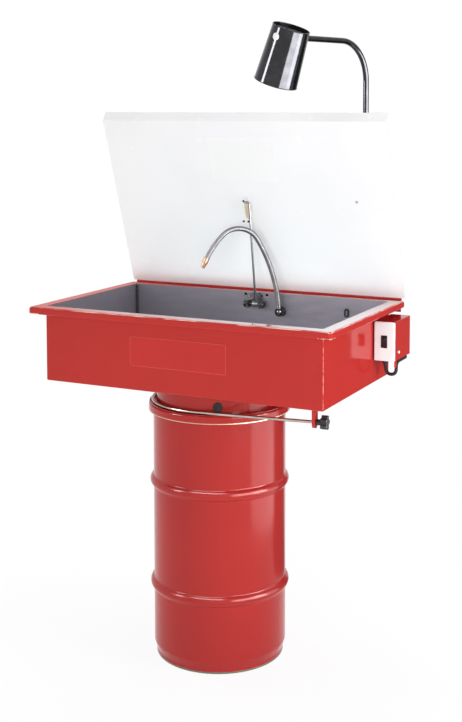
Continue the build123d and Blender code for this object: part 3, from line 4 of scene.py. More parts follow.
import bmesh
import bpy
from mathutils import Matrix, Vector

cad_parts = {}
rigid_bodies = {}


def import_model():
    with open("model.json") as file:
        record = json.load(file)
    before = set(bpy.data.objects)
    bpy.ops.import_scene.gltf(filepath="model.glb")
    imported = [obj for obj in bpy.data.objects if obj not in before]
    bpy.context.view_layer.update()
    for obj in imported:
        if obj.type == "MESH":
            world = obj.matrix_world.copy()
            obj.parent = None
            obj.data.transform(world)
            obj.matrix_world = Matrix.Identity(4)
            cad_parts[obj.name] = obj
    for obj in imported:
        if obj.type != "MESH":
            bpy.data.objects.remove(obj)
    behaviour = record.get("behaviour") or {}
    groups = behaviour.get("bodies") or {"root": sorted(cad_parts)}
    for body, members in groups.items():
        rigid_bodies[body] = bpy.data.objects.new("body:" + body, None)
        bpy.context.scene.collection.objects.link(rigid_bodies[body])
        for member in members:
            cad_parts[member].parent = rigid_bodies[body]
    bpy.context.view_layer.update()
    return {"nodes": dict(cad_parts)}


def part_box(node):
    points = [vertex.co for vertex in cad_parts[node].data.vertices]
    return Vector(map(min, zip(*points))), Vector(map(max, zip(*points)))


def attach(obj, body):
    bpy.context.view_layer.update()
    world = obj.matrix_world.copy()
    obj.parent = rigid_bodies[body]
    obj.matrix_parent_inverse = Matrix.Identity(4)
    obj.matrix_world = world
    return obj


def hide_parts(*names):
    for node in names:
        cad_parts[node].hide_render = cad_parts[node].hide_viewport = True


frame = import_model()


# The drum: an open-head shell of rolled sheet steel with two rolling hoops, a seamed foot and a
# curled rim. It is sprayed gloss red, worn off on the foot, and under the curl a bright line is
# partly worn steel and partly a painted highlight.
class Shade:
    """A shader socket: sums on it add Math nodes, and node() adds any other node to its tree."""

    def __init__(self, tree, out=None):
        self.tree = tree
        self.out = out

    def node(self, kind, settings=None, sockets=None, result=None):
        """Adds a node, sets it up, fills its sockets and gives the wanted result."""
        made = self.tree.nodes.new("ShaderNode" + kind)
        for key, value in (settings or {}).items():
            setattr(made, key, value)
        for key, value in (sockets or {}).items():
            socket = next(s for s in made.inputs if key in (s.identifier, s.name))
            if isinstance(value, Shade):
                self.tree.links.new(value.out, socket)
            elif socket.type == "RGBA":
                socket.default_value = (*value[:3], 1.0)
            else:
                socket.default_value = value
        if result is None:
            return Shade(self.tree, made.outputs[0] if made.outputs else None)
        return Shade(self.tree, next(s for s in made.outputs if result in (s.identifier, s.name)))

    def math(self, operation, first, second):
        return self.node("Math", {"operation": operation}, {"Value": first, "Value_001": second})

    def __add__(self, other):
        return self.math("ADD", self, other)

    def __radd__(self, other):
        return self.math("ADD", other, self)

    def __sub__(self, other):
        return self.math("SUBTRACT", self, other)

    def __rsub__(self, other):
        return self.math("SUBTRACT", other, self)

    def __mul__(self, other):
        return self.math("MULTIPLY", self, other)

    def __rmul__(self, other):
        return self.math("MULTIPLY", other, self)

    def __lt__(self, other):
        return self.math("LESS_THAN", self, other)

    def __gt__(self, other):
        return self.math("GREATER_THAN", self, other)

    def __abs__(self):
        return self.math("ABSOLUTE", self, 0.0)

    def root(self):
        return self.math("SQRT", self, 0.0)

    def larger(self, other):
        return self.math("MAXIMUM", self, other)

    def smaller(self, other):
        return self.math("MINIMUM", self, other)

    def glancing(self):
        """0 where the surface faces the eye and 1 where it is seen edge on, for gloss."""
        return self.node("LayerWeight", {}, {"Blend": 0.5}, "Facing")

    def rises(self, low, high):
        """0 at low, 1 at high, and smooth between."""
        span = {"Value": self, "From Min": low, "From Max": high}
        return self.node("MapRange", {"interpolation_type": "SMOOTHSTEP"}, span)

    def tint(self, first, second):
        """The first colour where this is 0 and the second where it is 1."""
        colours = {"Factor_Float": self, "A_Color": first, "B_Color": second}
        return self.node("Mix", {"data_type": "RGBA"}, colours, "Result_Color")

    def parts(self):
        """The x, y and z of a place."""
        return [self.node("SeparateXYZ", {}, {"Vector": self}, axis) for axis in "XYZ"]

    def stretch(self, factors):
        """The place with each direction scaled, so that a grain is drawn out."""
        sockets = {"Vector": self, "Vector_001": factors}
        return self.node("VectorMath", {"operation": "MULTIPLY"}, sockets, "Vector")

    def noise(self, scale, detail=2.0):
        sockets = {"Vector": self, "Scale": scale, "Detail": detail}
        return self.node("TexNoise", {}, sockets, "Fac")

    def bump(self, distance):
        """A surface normal with this as its height, times the distance."""
        return self.node("Bump", {}, {"Height": self, "Distance": distance})


def finish(name):
    """A new material and the Object coordinates that its nodes start from."""
    material = bpy.data.materials.new(name)
    material.use_nodes = True
    material.node_tree.nodes.clear()
    return material, Shade(material.node_tree).node("TexCoord", result="Object")


def surface(place, sockets):
    """Ends a material in a shader with these sockets."""
    shader = place.node("BsdfPrincipled", {}, sockets, "BSDF")
    place.node("OutputMaterial", {}, {"Surface": shader})


def dress(material, *names):
    """Gives CAD nodes their finish."""
    for name in names:
        slots = frame["nodes"][name].data.materials
        slots.clear()
        slots.append(material)


def scaled(colour, share):
    """A colour made darker or paler."""
    return [part * share for part in colour]


coat_scale = 4.0
even_range = (0.3, 0.7)


def coat(place, colour, deep, detail=2.0):
    """Sprayed paint that slowly changes between two depths of colour."""
    return place.noise(coat_scale, detail).rises(*even_range).tint(colour, deep)


red = (0.40, 0.023, 0.020)
bare_steel = (0.19, 0.165, 0.135)
rubbed_steel_and_highlight = (0.55, 0.44, 0.31)
enamel_shine = 0.25
enamel_deep = 0.93
peel_scale, peel_height = 520.0, 0.00006
enamel_dust = 60.0
pinholes = (0.86, 0.9)


def enamel(name, colour, worn=None, under=None, haze=0.05):
    """Gloss paint with a fine orange peel; worn is 1 where the steel under it shows."""
    material, place = finish(name)
    peel = place.noise(peel_scale, 1.0)
    dust = place.noise(enamel_dust, 4.0)
    paint = coat(place, colour, scaled(colour, enamel_deep))
    bare = worn(place) if worn else dust.rises(*pinholes)
    surface(place, {
        "Base Color": bare.tint(paint, under(place) if under else bare_steel),
        "Metallic": bare * 0.9,
        "Roughness": haze + 0.07 * dust + 0.25 * bare,
        "Specular IOR Level": enamel_shine,
        "Normal": (0.7 * peel + 0.3 * dust).bump(peel_height),
    })
    return material


drum_haze = 0.12
curl_low, curl_wear_and_highlight_line, curl_inside = 0.665, 0.002, 0.186
foot_lip, foot_chips = 0.006, 0.035
ragged_scale, ragged_reach = 90.0, 0.004
chip_scale, chip_range = 38.0, (0.75, 0.79)
rubbed_from, rubbed_to = 0.3, 0.4


def drum_wear(place):
    """1 on a line under the curl, partly wear and partly a painted highlight, on the foot's
    ragged lip and in the chips above it.
    """
    x, y, z = place.parts()
    radius = (x * x + y * y).root()
    ragged = (place.noise(ragged_scale, 3.0) - 0.5) * ragged_reach
    # The line under the curl is partly worn steel and partly a painted highlight of its lower edge.
    line = (abs(z + ragged * 0.3 - curl_low) < curl_wear_and_highlight_line) * (radius > curl_inside)
    lip = (z + ragged) < foot_lip
    chips = place.noise(chip_scale, 5.0).rises(*chip_range) * (z < foot_chips)
    return line.larger(lip).larger(chips)


def drum_steel(place):
    """Dull steel at the foot, and at the curl rubbed steel that is also a painted highlight."""
    return place.parts()[2].rises(rubbed_from, rubbed_to).tint(bare_steel, rubbed_steel_and_highlight)


drum_enamel = enamel("drum enamel", red, worn=drum_wear, under=drum_steel, haze=drum_haze)
dress(drum_enamel, "drum")


# The pump: a sump pump bolted together round one shaft, standing on its slotted inlet screen on the
# drum's floor. Iron casing, painted motor case and cap, laminated stator, bronze bearings.
sand_scale, pit_scale = 240.0, 70.0
pit_range, pit_share = (0.6, 0.75), 0.55


def cast(name, colour, grain=0.0006, roughness=0.55, metallic=0.7):
    """Sand-cast or laminated metal: a coarse grain with darker pits."""
    material, place = finish(name)
    sand = place.noise(sand_scale, 5.0)
    pits = place.noise(pit_scale, 3.0).rises(*pit_range)
    surface(place, {
        "Base Color": (0.6 * pits + 0.4 * sand).tint(colour, scaled(colour, pit_share)),
        "Metallic": metallic,
        "Roughness": roughness + 0.25 * sand,
        "Normal": (sand - pits).bump(grain),
    })
    return material


drawn_scale, dull_scale = 900.0, 45.0
dull_range, dull_share = (0.35, 0.7), 0.8
fine_height = 0.00005


def plated(name, colour, roughness=0.24, draw=(1.0, 1.0, 6.0)):
    """Plated or drawn metal: a fine grain along its length and duller handled patches."""
    material, place = finish(name)
    grain = place.stretch(draw).noise(drawn_scale)
    dull = place.noise(dull_scale, 3.0)
    surface(place, {
        "Base Color": dull.rises(*dull_range).tint(colour, scaled(colour, dull_share)),
        "Metallic": 1.0,
        "Roughness": roughness + 0.14 * dull + 0.06 * grain,
        "Normal": (0.5 * grain + 0.5 * dull).bump(fine_height),
    })
    return material


zinc = plated("zinc plate", (0.60, 0.60, 0.60))
core_steel = plated("bright steel", (0.46, 0.46, 0.47), roughness=0.32)
bronze = cast("bearing bronze", (0.52, 0.34, 0.16), grain=0.0001, roughness=0.3, metallic=1.0)
core_grey = (0.34, 0.33, 0.32)
laminations = cast("core laminations", core_grey, grain=0.0002, roughness=0.4, metallic=0.9)
dress(zinc, "pump_screen")
dress(cast("pump iron", (0.20, 0.21, 0.22)), "pump_volute")
dress(enamel("pump enamel", (0.08, 0.10, 0.13)), "pump_motor_case", "pump_cap")
dress(laminations, "pump_stator", "pump_bearing_plate")
dress(core_steel, "pump_rotor")
dress(bronze, "pump_bearings")


# The collar: a rolled skirt welded under the tub that drops into the drum's mouth and seats on its
# rim. A push-in rubber plug closes the hole at its front, and two sleeves line those at its back.
collar_red = (0.365, 0.024, 0.019)
rubber_grey = (0.022, 0.022, 0.023)
rubber_scale, rubber_height = 700.0, 0.0001
bloom_scale, bloom_range, bloom_pale = 30.0, (0.45, 0.8), 0.03


def rubber(name, colour, roughness=0.6):
    """Moulded rubber: matt, faintly mottled, with a dusty bloom."""
    material, place = finish(name)
    grain = place.noise(rubber_scale, 3.0)
    bloom = place.noise(bloom_scale, 4.0)
    pale = [part + bloom_pale for part in colour]
    surface(place, {
        "Base Color": bloom.rises(*bloom_range).tint(colour, pale),
        "Roughness": roughness + 0.2 * bloom,
        "Normal": grain.bump(rubber_height),
    })
    return material


dress(enamel("collar enamel", collar_red), "collar")
dress(rubber("black rubber", rubber_grey), "collar_plug", "collar_sleeves")


# The tub: one folded and welded sheet-steel tray with a flange and a turned-down lip round its rim.
# Red enamel outside and on the flange, bare mill steel inside, where the solvent runs.
wall_x, wall_y, tub_low = 0.398, 0.2325, 0.746
sheet_x, sheet_y, sheet_low = 0.39725, 0.23175, 0.74675
sheet_bend = 0.00325


def inside_tub(x, y, z):
    """1 within the rounded box that runs through the middle of the sheet, so on its inner side."""
    past_x = (abs(x) - (sheet_x - sheet_bend)).larger(0.0)
    past_y = (abs(y) - (sheet_y - sheet_bend)).larger(0.0)
    past_low = ((sheet_low + sheet_bend) - z).larger(0.0)
    return (past_x * past_x + past_y * past_y + past_low * past_low).root() < sheet_bend


rim_x, rim_y, rim_z = 0.432, 0.2665, 0.946
rim_bend = 0.007
crest_from, crest_to = 0.45 * rim_bend, 0.75 * rim_bend
crest_low = rim_z - 0.5 * rim_bend
edge_wear, corner_top = 0.0015, 0.93
streak_draw, streak_scale, streak_range = (0.15, 0.15, 1.0), 90.0, (0.38, 0.62)
spot_scale, spot_range = 70.0, (0.40, 0.60)


def chips_and_painted_glints(place, x, y, z):
    """1 in streaks on the rim's crest and in spots on the walls' edges: chips where paint is
    rubbed off, which also stand as painted highlights on the crest and the upright corners.
    """
    past_rim = (abs(x) - (rim_x - rim_bend)).larger(abs(y) - (rim_y - rim_bend))
    crest = (past_rim > crest_from) * (past_rim < crest_to) * (z > crest_low)
    near_x, near_y = abs(x) > wall_x - edge_wear, abs(y) > wall_y - edge_wear
    low_edge = (z < tub_low + edge_wear) * near_x
    edges = (near_x * near_y * (z < corner_top)).larger(low_edge)
    # The streaks on the crest and the spots on the upright corners are partly painted highlights.
    streaks = place.stretch(streak_draw).noise(streak_scale, 4.0).rises(*streak_range)
    spots = place.noise(spot_scale, 4.0).rises(*spot_range)
    return (crest * streaks).larger(edges * spots)


tub_red, tub_deep = (0.485, 0.025, 0.020), 0.94
chip_and_glint_cream = (0.85, 0.60, 0.50)
sheen_red_colour = (0.75, 0.19, 0.16)
mill_steel = (0.54, 0.503, 0.565)
mill_shade = (0.375, 0.348, 0.392)
white = (1.0, 1.0, 1.0)
tub_dust, blotch_scale = 50.0, 5.0
rolled_draw, rolled_scale = (1.0, 4.0, 4.0), 16.0
dent_draw, dent_scale, dent_depth = (1.0, 1.0, 1.6), 7.0, 30.0
flange_top = 0.9455
painted_shade_span, sheen_span = (-0.40, 0.30), (-0.43, -0.15)
hand_span, corner_span = (-0.40, 0.15), (0.30, 0.43)


def tub_finish():
    """Steel inside with painted shade that darkens it towards the left, enamel outside, and a
    flange with a painted pale sheen at its left and polished by hands.
    """
    material, place = finish("tub enamel and steel")
    x, y, z = place.parts()
    inside = inside_tub(x, y, z)
    peel = place.noise(peel_scale, 1.0)
    dust = place.noise(tub_dust, 4.0)
    rolled = place.stretch(rolled_draw).noise(rolled_scale, 4.0)
    blotch = place.noise(blotch_scale, 4.0)
    dents = place.stretch(dent_draw).noise(dent_scale, 1.0)
    # Painted shade: besides random stains, the steel is painted darker towards the left wall.
    stains_and_painted_shade = 0.4 * rolled + 0.4 * blotch + 0.3 * (1 - x.rises(*painted_shade_span))
    steel = stains_and_painted_shade.rises(*even_range).tint(mill_steel, mill_shade)
    paint = coat(place, tub_red, scaled(tub_red, tub_deep))
    paint = chips_and_painted_glints(place, x, y, z).tint(paint, chip_and_glint_cream)
    skin = place.node("BsdfPrincipled", {}, {
        "Base Color": inside.tint(paint, steel),
        "Metallic": 0.85 * inside,
        "Roughness": 0.05 + 0.07 * dust + inside * (0.30 + 0.14 * rolled),
        "Specular IOR Level": enamel_shine,
        "Normal": (0.7 * peel + 0.3 * dust + dent_depth * inside * dents).bump(peel_height),
    }, "BSDF")
    sheen_shader = place.node("BsdfDiffuse", {}, {"Color": sheen_red_colour}, "BSDF")
    polish = place.node("BsdfGlossy", {}, {"Color": white, "Roughness": 0.08}, "BSDF")
    flange = z > flange_top
    # Painted sheen: a paler diffuse red on the left flange stands in for its pale reflection.
    painted_sheen_share = flange * (0.6 - 0.6 * x.rises(*sheen_span))
    handled = 0.66 * x.rises(*hand_span) + 0.34 * x.rises(*corner_span)
    gloss = flange * handled * place.glancing()
    dull = place.node("MixShader", {}, {"Fac": painted_sheen_share, "Shader": skin, "Shader_001": sheen_shader})
    both = place.node("MixShader", {}, {"Fac": gloss, "Shader": dull, "Shader_001": polish})
    place.node("OutputMaterial", {}, {"Surface": both})
    return material


dress(tub_finish(), "tub")


# The corner welds: beads of filler run up the four upright corners inside the tub, where the folded
# ends meet the sides, and left rough and dark.
class Tree:
    """A Geometry Nodes tree with named inputs, built node by node."""

    def __init__(self, name, inputs):
        self.group = bpy.data.node_groups.new(name, "GeometryNodeTree")
        self.ids = {}
        self.socket("Geometry", "INPUT", "Geometry")
        for title, kind in inputs.items():
            self.ids[title] = self.socket(title, "INPUT", kind).identifier
        self.socket("Geometry", "OUTPUT", "Geometry")
        self.inputs = self.group.nodes.new("NodeGroupInput")

    def socket(self, title, side, kind):
        return self.group.interface.new_socket(title, in_out=side, socket_type="NodeSocket" + kind)

    def node(self, kind, settings=None, sockets=None):
        """Adds a node; a socket's value may be a link from another node or a named input."""
        made = self.group.nodes.new(kind)
        for key, value in (settings or {}).items():
            setattr(made, key, value)
        for key, value in (sockets or {}).items():
            socket = made.inputs[key]
            if isinstance(value, bpy.types.NodeSocket):
                self.group.links.new(value, socket)
            else:
                socket.default_value = value
        return made.outputs[0]

    def given(self, title):
        return self.inputs.outputs[title]

    def close(self, geometry, material):
        """Ends the tree with instances made real and the finish set."""
        real = self.node("GeometryNodeRealizeInstances", {}, {"Geometry": geometry})
        smooth = self.node("GeometryNodeSetShadeSmooth", {}, {"Geometry": real})
        coated = {"Geometry": smooth, "Material": material}
        done = self.node("GeometryNodeSetMaterial", {}, coated)
        output = self.group.nodes.new("NodeGroupOutput")
        self.group.links.new(done, output.inputs[0])

    def grow(self, name, base, values):
        """Runs the tree on a curve and keeps the result as a plain mesh piece."""
        source = bpy.data.objects.new(name + " source", base)
        bpy.context.collection.objects.link(source)
        modifier = source.modifiers.new("nodes", "NODES")
        modifier.node_group = self.group
        for title, value in values.items():
            modifier[self.ids[title]] = value
        graph = bpy.context.evaluated_depsgraph_get()
        mesh = bpy.data.meshes.new_from_object(source.evaluated_get(graph))
        source.modifiers.remove(modifier)
        bpy.data.objects.remove(source)
        return add_piece(name, mesh)


def add_piece(name, data):
    """Links a finished mesh or curve into the scene."""
    piece = bpy.data.objects.new(name, data)
    bpy.context.collection.objects.link(piece)
    return piece


def polyline(name, lines):
    """A curve of straight lines."""
    curve = bpy.data.curves.new(name, "CURVE")
    curve.dimensions = "3D"
    for points in lines:
        spline = curve.splines.new("POLY")
        spline.points.add(len(points) - 1)
        for point, place in zip(spline.points, points):
            point.co = (*place, 1.0)
    return curve


weld_low, weld_high = 0.752, 0.938
weld_x, weld_y = 0.3937, 0.2282
bead_size, bead_step, bead_rounding = 0.0036, 0.0048, 2
bead_least, bead_most, bead_seed = (0.7, 0.7, 0.7), (1.1, 1.1, 1.5), 0


def bead_tree(material):
    """Uneven round beads, a step apart along a line."""
    tree = Tree("weld beads", {"Bead": "Float", "Step": "Float"})
    lines = {"Curve": tree.given("Geometry"), "Length": tree.given("Step")}
    spaced = tree.node("GeometryNodeCurveToPoints", {"mode": "LENGTH"}, lines)
    ball = {"Radius": tree.given("Bead"), "Subdivisions": bead_rounding}
    bead = tree.node("GeometryNodeMeshIcoSphere", {}, ball)
    sizes = {"Min": bead_least, "Max": bead_most, "Seed": bead_seed}
    size = tree.node("FunctionNodeRandomValue", {"data_type": "FLOAT_VECTOR"}, sizes)
    placed = {"Points": spaced, "Instance": bead, "Scale": size}
    tree.close(tree.node("GeometryNodeInstanceOnPoints", {}, placed), material)
    return tree


weld_steel = cast("weld steel", (0.09, 0.085, 0.09), grain=0.0004, roughness=0.4, metallic=0.8)
weld_lines = [
    [(x, y, weld_low), (x, y, weld_high)] for x in (-weld_x, weld_x) for y in (-weld_y, weld_y)
]
welds = bead_tree(weld_steel).grow(
    "corner_welds", polyline("weld lines", weld_lines), {"Bead": bead_size, "Step": bead_step}
)
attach(welds, "stand")


# The tub's fittings: a perforated drain strainer over a short drain tube, an oval slit grommet of
# rubber in the back wall, and a thin enamelled plate stuck to the front wall.
plate_red = (0.52, 0.028, 0.023)
plate_line = (0.74, 0.13, 0.11)
plate_rim = 0.0013
plate_deep = 0.94
plate_peel, plate_dust = 480.0, 40.0


def plate_finish(node):
    """Red enamel with a thin paler line where the plate's edge catches the light."""
    material, place = finish("front plate enamel")
    low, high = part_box(node)
    x, z = place.parts()[::2]
    middle, half = (low + high) / 2, (high - low) / 2
    from_side = half.x - abs(x - middle.x)
    from_edge = from_side.smaller(half.z - abs(z - middle.z))
    rim = 1 - from_edge.rises(plate_rim * 0.6, plate_rim)
    peel = place.noise(plate_peel)
    dust = place.noise(plate_dust, 4.0)
    field = coat(place, plate_red, scaled(plate_red, plate_deep))
    surface(place, {
        "Base Color": (rim * (0.35 + 0.5 * dust)).tint(field, plate_line),
        "Roughness": 0.12 + 0.12 * dust,
        "Specular IOR Level": enamel_shine,
        "Normal": peel.bump(peel_height),
    })
    return material


slit_across, slit_up = 0.0016, 0.0060
slit_painted_light_grey = (0.42, 0.41, 0.43)
grommet_pale = (0.05, 0.05, 0.052)
grommet_bloom, grommet_range = 90.0, (0.4, 0.8)


def grommet_finish(node):
    """Black rubber, with the walls of its slit painted pale grey as painted light in the slit."""
    material, place = finish("grommet rubber")
    low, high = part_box(node)
    x, z = place.parts()[::2]
    middle = (low + high) / 2
    # Painted light: the slit's walls are painted pale grey to show light in the slit.
    slit = (abs(x - middle.x) < slit_across) * (abs(z - middle.z) < slit_up)
    bloom = place.noise(grommet_bloom, 3.0)
    skin = bloom.rises(*grommet_range).tint(rubber_grey, grommet_pale)
    surface(place, {
        "Base Color": slit.tint(skin, slit_painted_light_grey),
        "Roughness": 0.5 + 0.25 * bloom,
        "Normal": bloom.bump(rubber_height),
    })
    return material


dress(zinc, "drain_strainer", "drain_tube")
dress(grommet_finish("wall_grommet"), "wall_grommet")
dress(plate_finish("nameplate"), "nameplate")


# The clamp: a plated rod bent round the collar, whose free end runs through a round-ended tab under
# the tub's corner and is pulled tight by a lobed plastic knob on its thread.
spark_scale, spark_height = 1100.0, 0.00006
handled_scale, handled_range = 26.0, (0.4, 0.75)
handled_share, handled_lift = 1.5, 0.006


def moulded(name, colour, roughness=0.34):
    """Moulded plastic: an even skin with a light spark-eroded grain and handled shine."""
    material, place = finish(name)
    grain = place.noise(spark_scale, 1.0)
    shine = place.noise(handled_scale, 3.0)
    pale = [part * handled_share + handled_lift for part in colour]
    surface(place, {
        "Base Color": shine.rises(*handled_range).tint(colour, pale),
        "Roughness": roughness + 0.18 * shine,
        "Normal": grain.bump(spark_height),
    })
    return material


black_plastic = moulded("black plastic", (0.012, 0.012, 0.013))
dress(plated("clamp rod zinc", (0.55, 0.53, 0.48), roughness=0.13), "clamp_rod")
dress(enamel("bracket enamel", tub_red), "clamp_bracket")
dress(black_plastic, "clamp_knob")


# The lid's hinge: a long rolled-knuckle hinge with one pin through all its knuckles. Its leaves are
# riveted to the tub's back lip and to the lid, and sprayed with them.
along_pin = (6.0, 1.0, 1.0)
dress(enamel("hinge enamel", tub_red), "hinge_leaf", "hinge_rivets")
dress(plated("hinge pin zinc", (0.56, 0.56, 0.57), roughness=0.3, draw=along_pin), "hinge_pin")


# The lid: one flat sheet-steel panel with a bent front lip, enamelled gloss white on both sides.
# Its knuckles are red with the tub. A vinyl label and a rubber bumper are stuck inside it.
lid_white = (0.87, 0.87, 0.878)
lid_shade = (0.845, 0.845, 0.855)
white_peel, white_dust = 430.0, 30.0
white_shine = 0.3


def white_enamel(name, colour, shade, red_where=None):
    """Gloss white paint; red_where is 1 where the tub's red was sprayed over it."""
    material, place = finish(name)
    peel = place.noise(white_peel)
    dust = place.noise(white_dust, 5.0)
    paint = coat(place, colour, shade, detail=3.0)
    surface(place, {
        "Base Color": red_where(place).tint(paint, tub_red) if red_where else paint,
        "Roughness": 0.24 + 0.05 * dust,
        "Specular IOR Level": white_shine,
        "Normal": (0.7 * peel + 0.3 * dust).bump(fine_height),
    })
    return material


hinge_y, hinge_z = 0.2715, 0.947
knuckle_reach = 0.0056


def on_knuckles(place):
    """1 within the knuckles' reach of the pin."""
    y, z = place.parts()[1:]
    back, up = y - hinge_y, z - hinge_z
    return (back * back + up * up).root() < knuckle_reach


lid_enamel = white_enamel("lid enamel", lid_white, lid_shade)
dress(lid_enamel, "lid_panel", "lid_rivets")
leaf_enamel = white_enamel("lid leaf enamel", lid_white, lid_shade, red_where=on_knuckles)
dress(leaf_enamel, "lid_hinge_leaf")

lid_angle = radians(71)
lid_up = Vector((0, -cos(lid_angle), sin(lid_angle)))
lid_in = Vector((0, -sin(lid_angle), -cos(lid_angle)))
lid_face = 0.0006


def on_lid(x, up, off):
    """A place on the lid's inner face: across, up from the hinge, and off the sheet."""
    return Vector((x, hinge_y, hinge_z)) + lid_up * up + lid_in * (lid_face + off)


def join_rings(mesh, low, high):
    """Makes the faces between two rings of corners."""
    for i, j in zip(range(len(low)), [*range(1, len(low)), 0]):
        mesh.faces.new((low[i], low[j], high[j], high[i]))


def close_mesh(name, mesh):
    """Turns the faces outward and keeps the shape as mesh data."""
    bmesh.ops.recalc_face_normals(mesh, faces=mesh.faces)
    data = bpy.data.meshes.new(name)
    mesh.to_mesh(data)
    mesh.free()
    return data


label_left, label_right = -0.102, 0.100
label_low, label_high = 0.338, 0.467
label_thick = 0.0003
label_corner, corner_steps = 0.004, 6
stuck_gap = 0.00005


def label_mesh():
    """A thin sheet with rounded corners, lying on the lid."""
    left, right = label_left + label_corner, label_right - label_corner
    low, high = label_low + label_corner, label_high - label_corner
    outline = []
    for turn, (x, up) in enumerate(((right, high), (left, high), (left, low), (right, low))):
        for step in range(corner_steps + 1):
            angle = (turn + step / corner_steps) * pi / 2
            outline.append((x + label_corner * cos(angle), up + label_corner * sin(angle)))
    mesh = bmesh.new()
    under = [mesh.verts.new(on_lid(x, up, stuck_gap)) for x, up in outline]
    over = [mesh.verts.new(on_lid(x, up, label_thick)) for x, up in outline]
    mesh.faces.new(under)
    mesh.faces.new(over)
    join_rings(mesh, under, over)
    return close_mesh("lid label", mesh)


label_white, label_shade = (0.87, 0.87, 0.87), (0.845, 0.845, 0.845)
mottle_scale, weave_scale = 300.0, 900.0


def label_finish():
    """White vinyl, faintly mottled."""
    material, place = finish("label vinyl")
    mottle = place.noise(mottle_scale, 3.0)
    weave = place.noise(weave_scale)
    surface(place, {
        "Base Color": mottle.rises(*even_range).tint(label_white, label_shade),
        "Roughness": 0.34 + 0.15 * mottle,
        "Normal": weave.bump(fine_height),
    })
    return material


label = add_piece("lid_label", label_mesh())
label.data.materials.append(label_finish())
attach(label, "lid")

dome_rings, dome_sides = 6, 28


def dome_mesh(name, foot, across, up, radius, height):
    """A low dome on a flat foot, whose middle and two directions are given."""
    mesh = bmesh.new()
    out = across.cross(up)
    turns = [2 * pi * i / dome_sides for i in range(dome_sides)]
    spokes = [across * cos(turn) + up * sin(turn) for turn in turns]
    rings = []
    for ring in range(dome_rings):
        lift = ring / dome_rings * pi / 2
        spread, rise = radius * cos(lift), height * sin(lift)
        rings.append([mesh.verts.new(foot + spoke * spread + out * rise) for spoke in spokes])
    top = mesh.verts.new(foot + out * height)
    for low, high in zip(rings, rings[1:]):
        join_rings(mesh, low, high)
    last = rings[-1]
    for i in range(dome_sides):
        mesh.faces.new((last[i], last[(i + 1) % dome_sides], top))
    for face in mesh.faces:
        face.smooth = True
    mesh.faces.new(rings[0])
    return close_mesh(name, mesh)


bumper_x, bumper_up = 0.323, 0.285
bumper_radius, bumper_height = 0.0042, 0.003
bumper_foot = on_lid(bumper_x, bumper_up, stuck_gap)
rightward = Vector((1, 0, 0))
bumper = add_piece(
    "lid_bumper",
    dome_mesh("lid bumper", bumper_foot, rightward, lid_up, bumper_radius, bumper_height),
)
bumper.data.materials.append(rubber("bumper rubber", (0.42, 0.42, 0.43)))
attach(bumper, "lid")


# The lid's prop: a steel bracket screwed to the back wall, blackened at its middle, with a pin
# between two round knobs, and a thin rod that folds on the pin and hooks on the lid's link.
bracket_web = 0.0202
bracket_black, bracket_rubbed = (0.10, 0.10, 0.105), (0.36, 0.35, 0.36)
smear_scale, smear_range, smear_height = 120.0, (0.35, 0.65), 0.0001


def bracket_finish():
    """Smeared black on the middle, bare mill steel on the screwed wings."""
    material, place = finish("prop bracket steel")
    wing = abs(place.parts()[0]) > bracket_web
    smear = place.noise(smear_scale, 4.0)
    middle = smear.rises(*smear_range).tint(bracket_black, bracket_rubbed)
    surface(place, {
        "Base Color": wing.tint(middle, mill_steel),
        "Metallic": 0.9,
        "Roughness": 0.2 + 0.2 * smear,
        "Normal": smear.bump(smear_height),
    })
    return material


black_steel = plated("blackened steel", (0.055, 0.055, 0.058), roughness=0.3)
dress(bracket_finish(), "prop_bracket")
dress(moulded("knob phenolic", (0.014, 0.014, 0.015), roughness=0.12), "prop_knobs")
dress(black_steel, "prop_pin", "prop_screws")
dress(plated("prop rod steel", (0.26, 0.26, 0.27)), "prop_rod")


# The fusible link: two brass strips soldered together, screwed with a white backing plate to the
# lid. In a fire the solder melts, the prop lets go and the lid shuts.
dress(lid_enamel, "link_plate")
dress(plated("brass", (0.92, 0.80, 0.56), roughness=0.46), "fusible_link")
dress(black_steel, "link_screws")


# The spout: a bendable hose of interlocked steel strip, chromed, on a ball in a moulded wall
# fitting. It stays where it is bent, and ends in a brass nozzle.
spout_points = [
    (0.0775, 0.2136, 0.9060),
    (0.0752, 0.2117, 0.9461),
    (0.0610, 0.1998, 1.0176),
    (0.0447, 0.1860, 1.0694),
    (0.0183, 0.1639, 1.1305),
    (-0.0317, 0.1220, 1.1382),
    (-0.0684, 0.0912, 1.0858),
    (-0.0802, 0.0813, 1.0555),
]
spout_radius = 0.0072
rib_depth, rib_count = 0.0008, 95
rings_per_rib = 8
spout_sides = 20
line_steps = 24


def smooth_line(name, points):
    """A smooth line through the reach of its control points, from the first to the last."""
    curve = bpy.data.curves.new(name, "CURVE")
    curve.dimensions = "3D"
    spline = curve.splines.new("NURBS")
    spline.points.add(len(points) - 1)
    for point, place in zip(spline.points, points):
        point.co = (*place, 1.0)
    spline.order_u = 3
    spline.use_endpoint_u = True
    curve.resolution_u = line_steps
    return curve


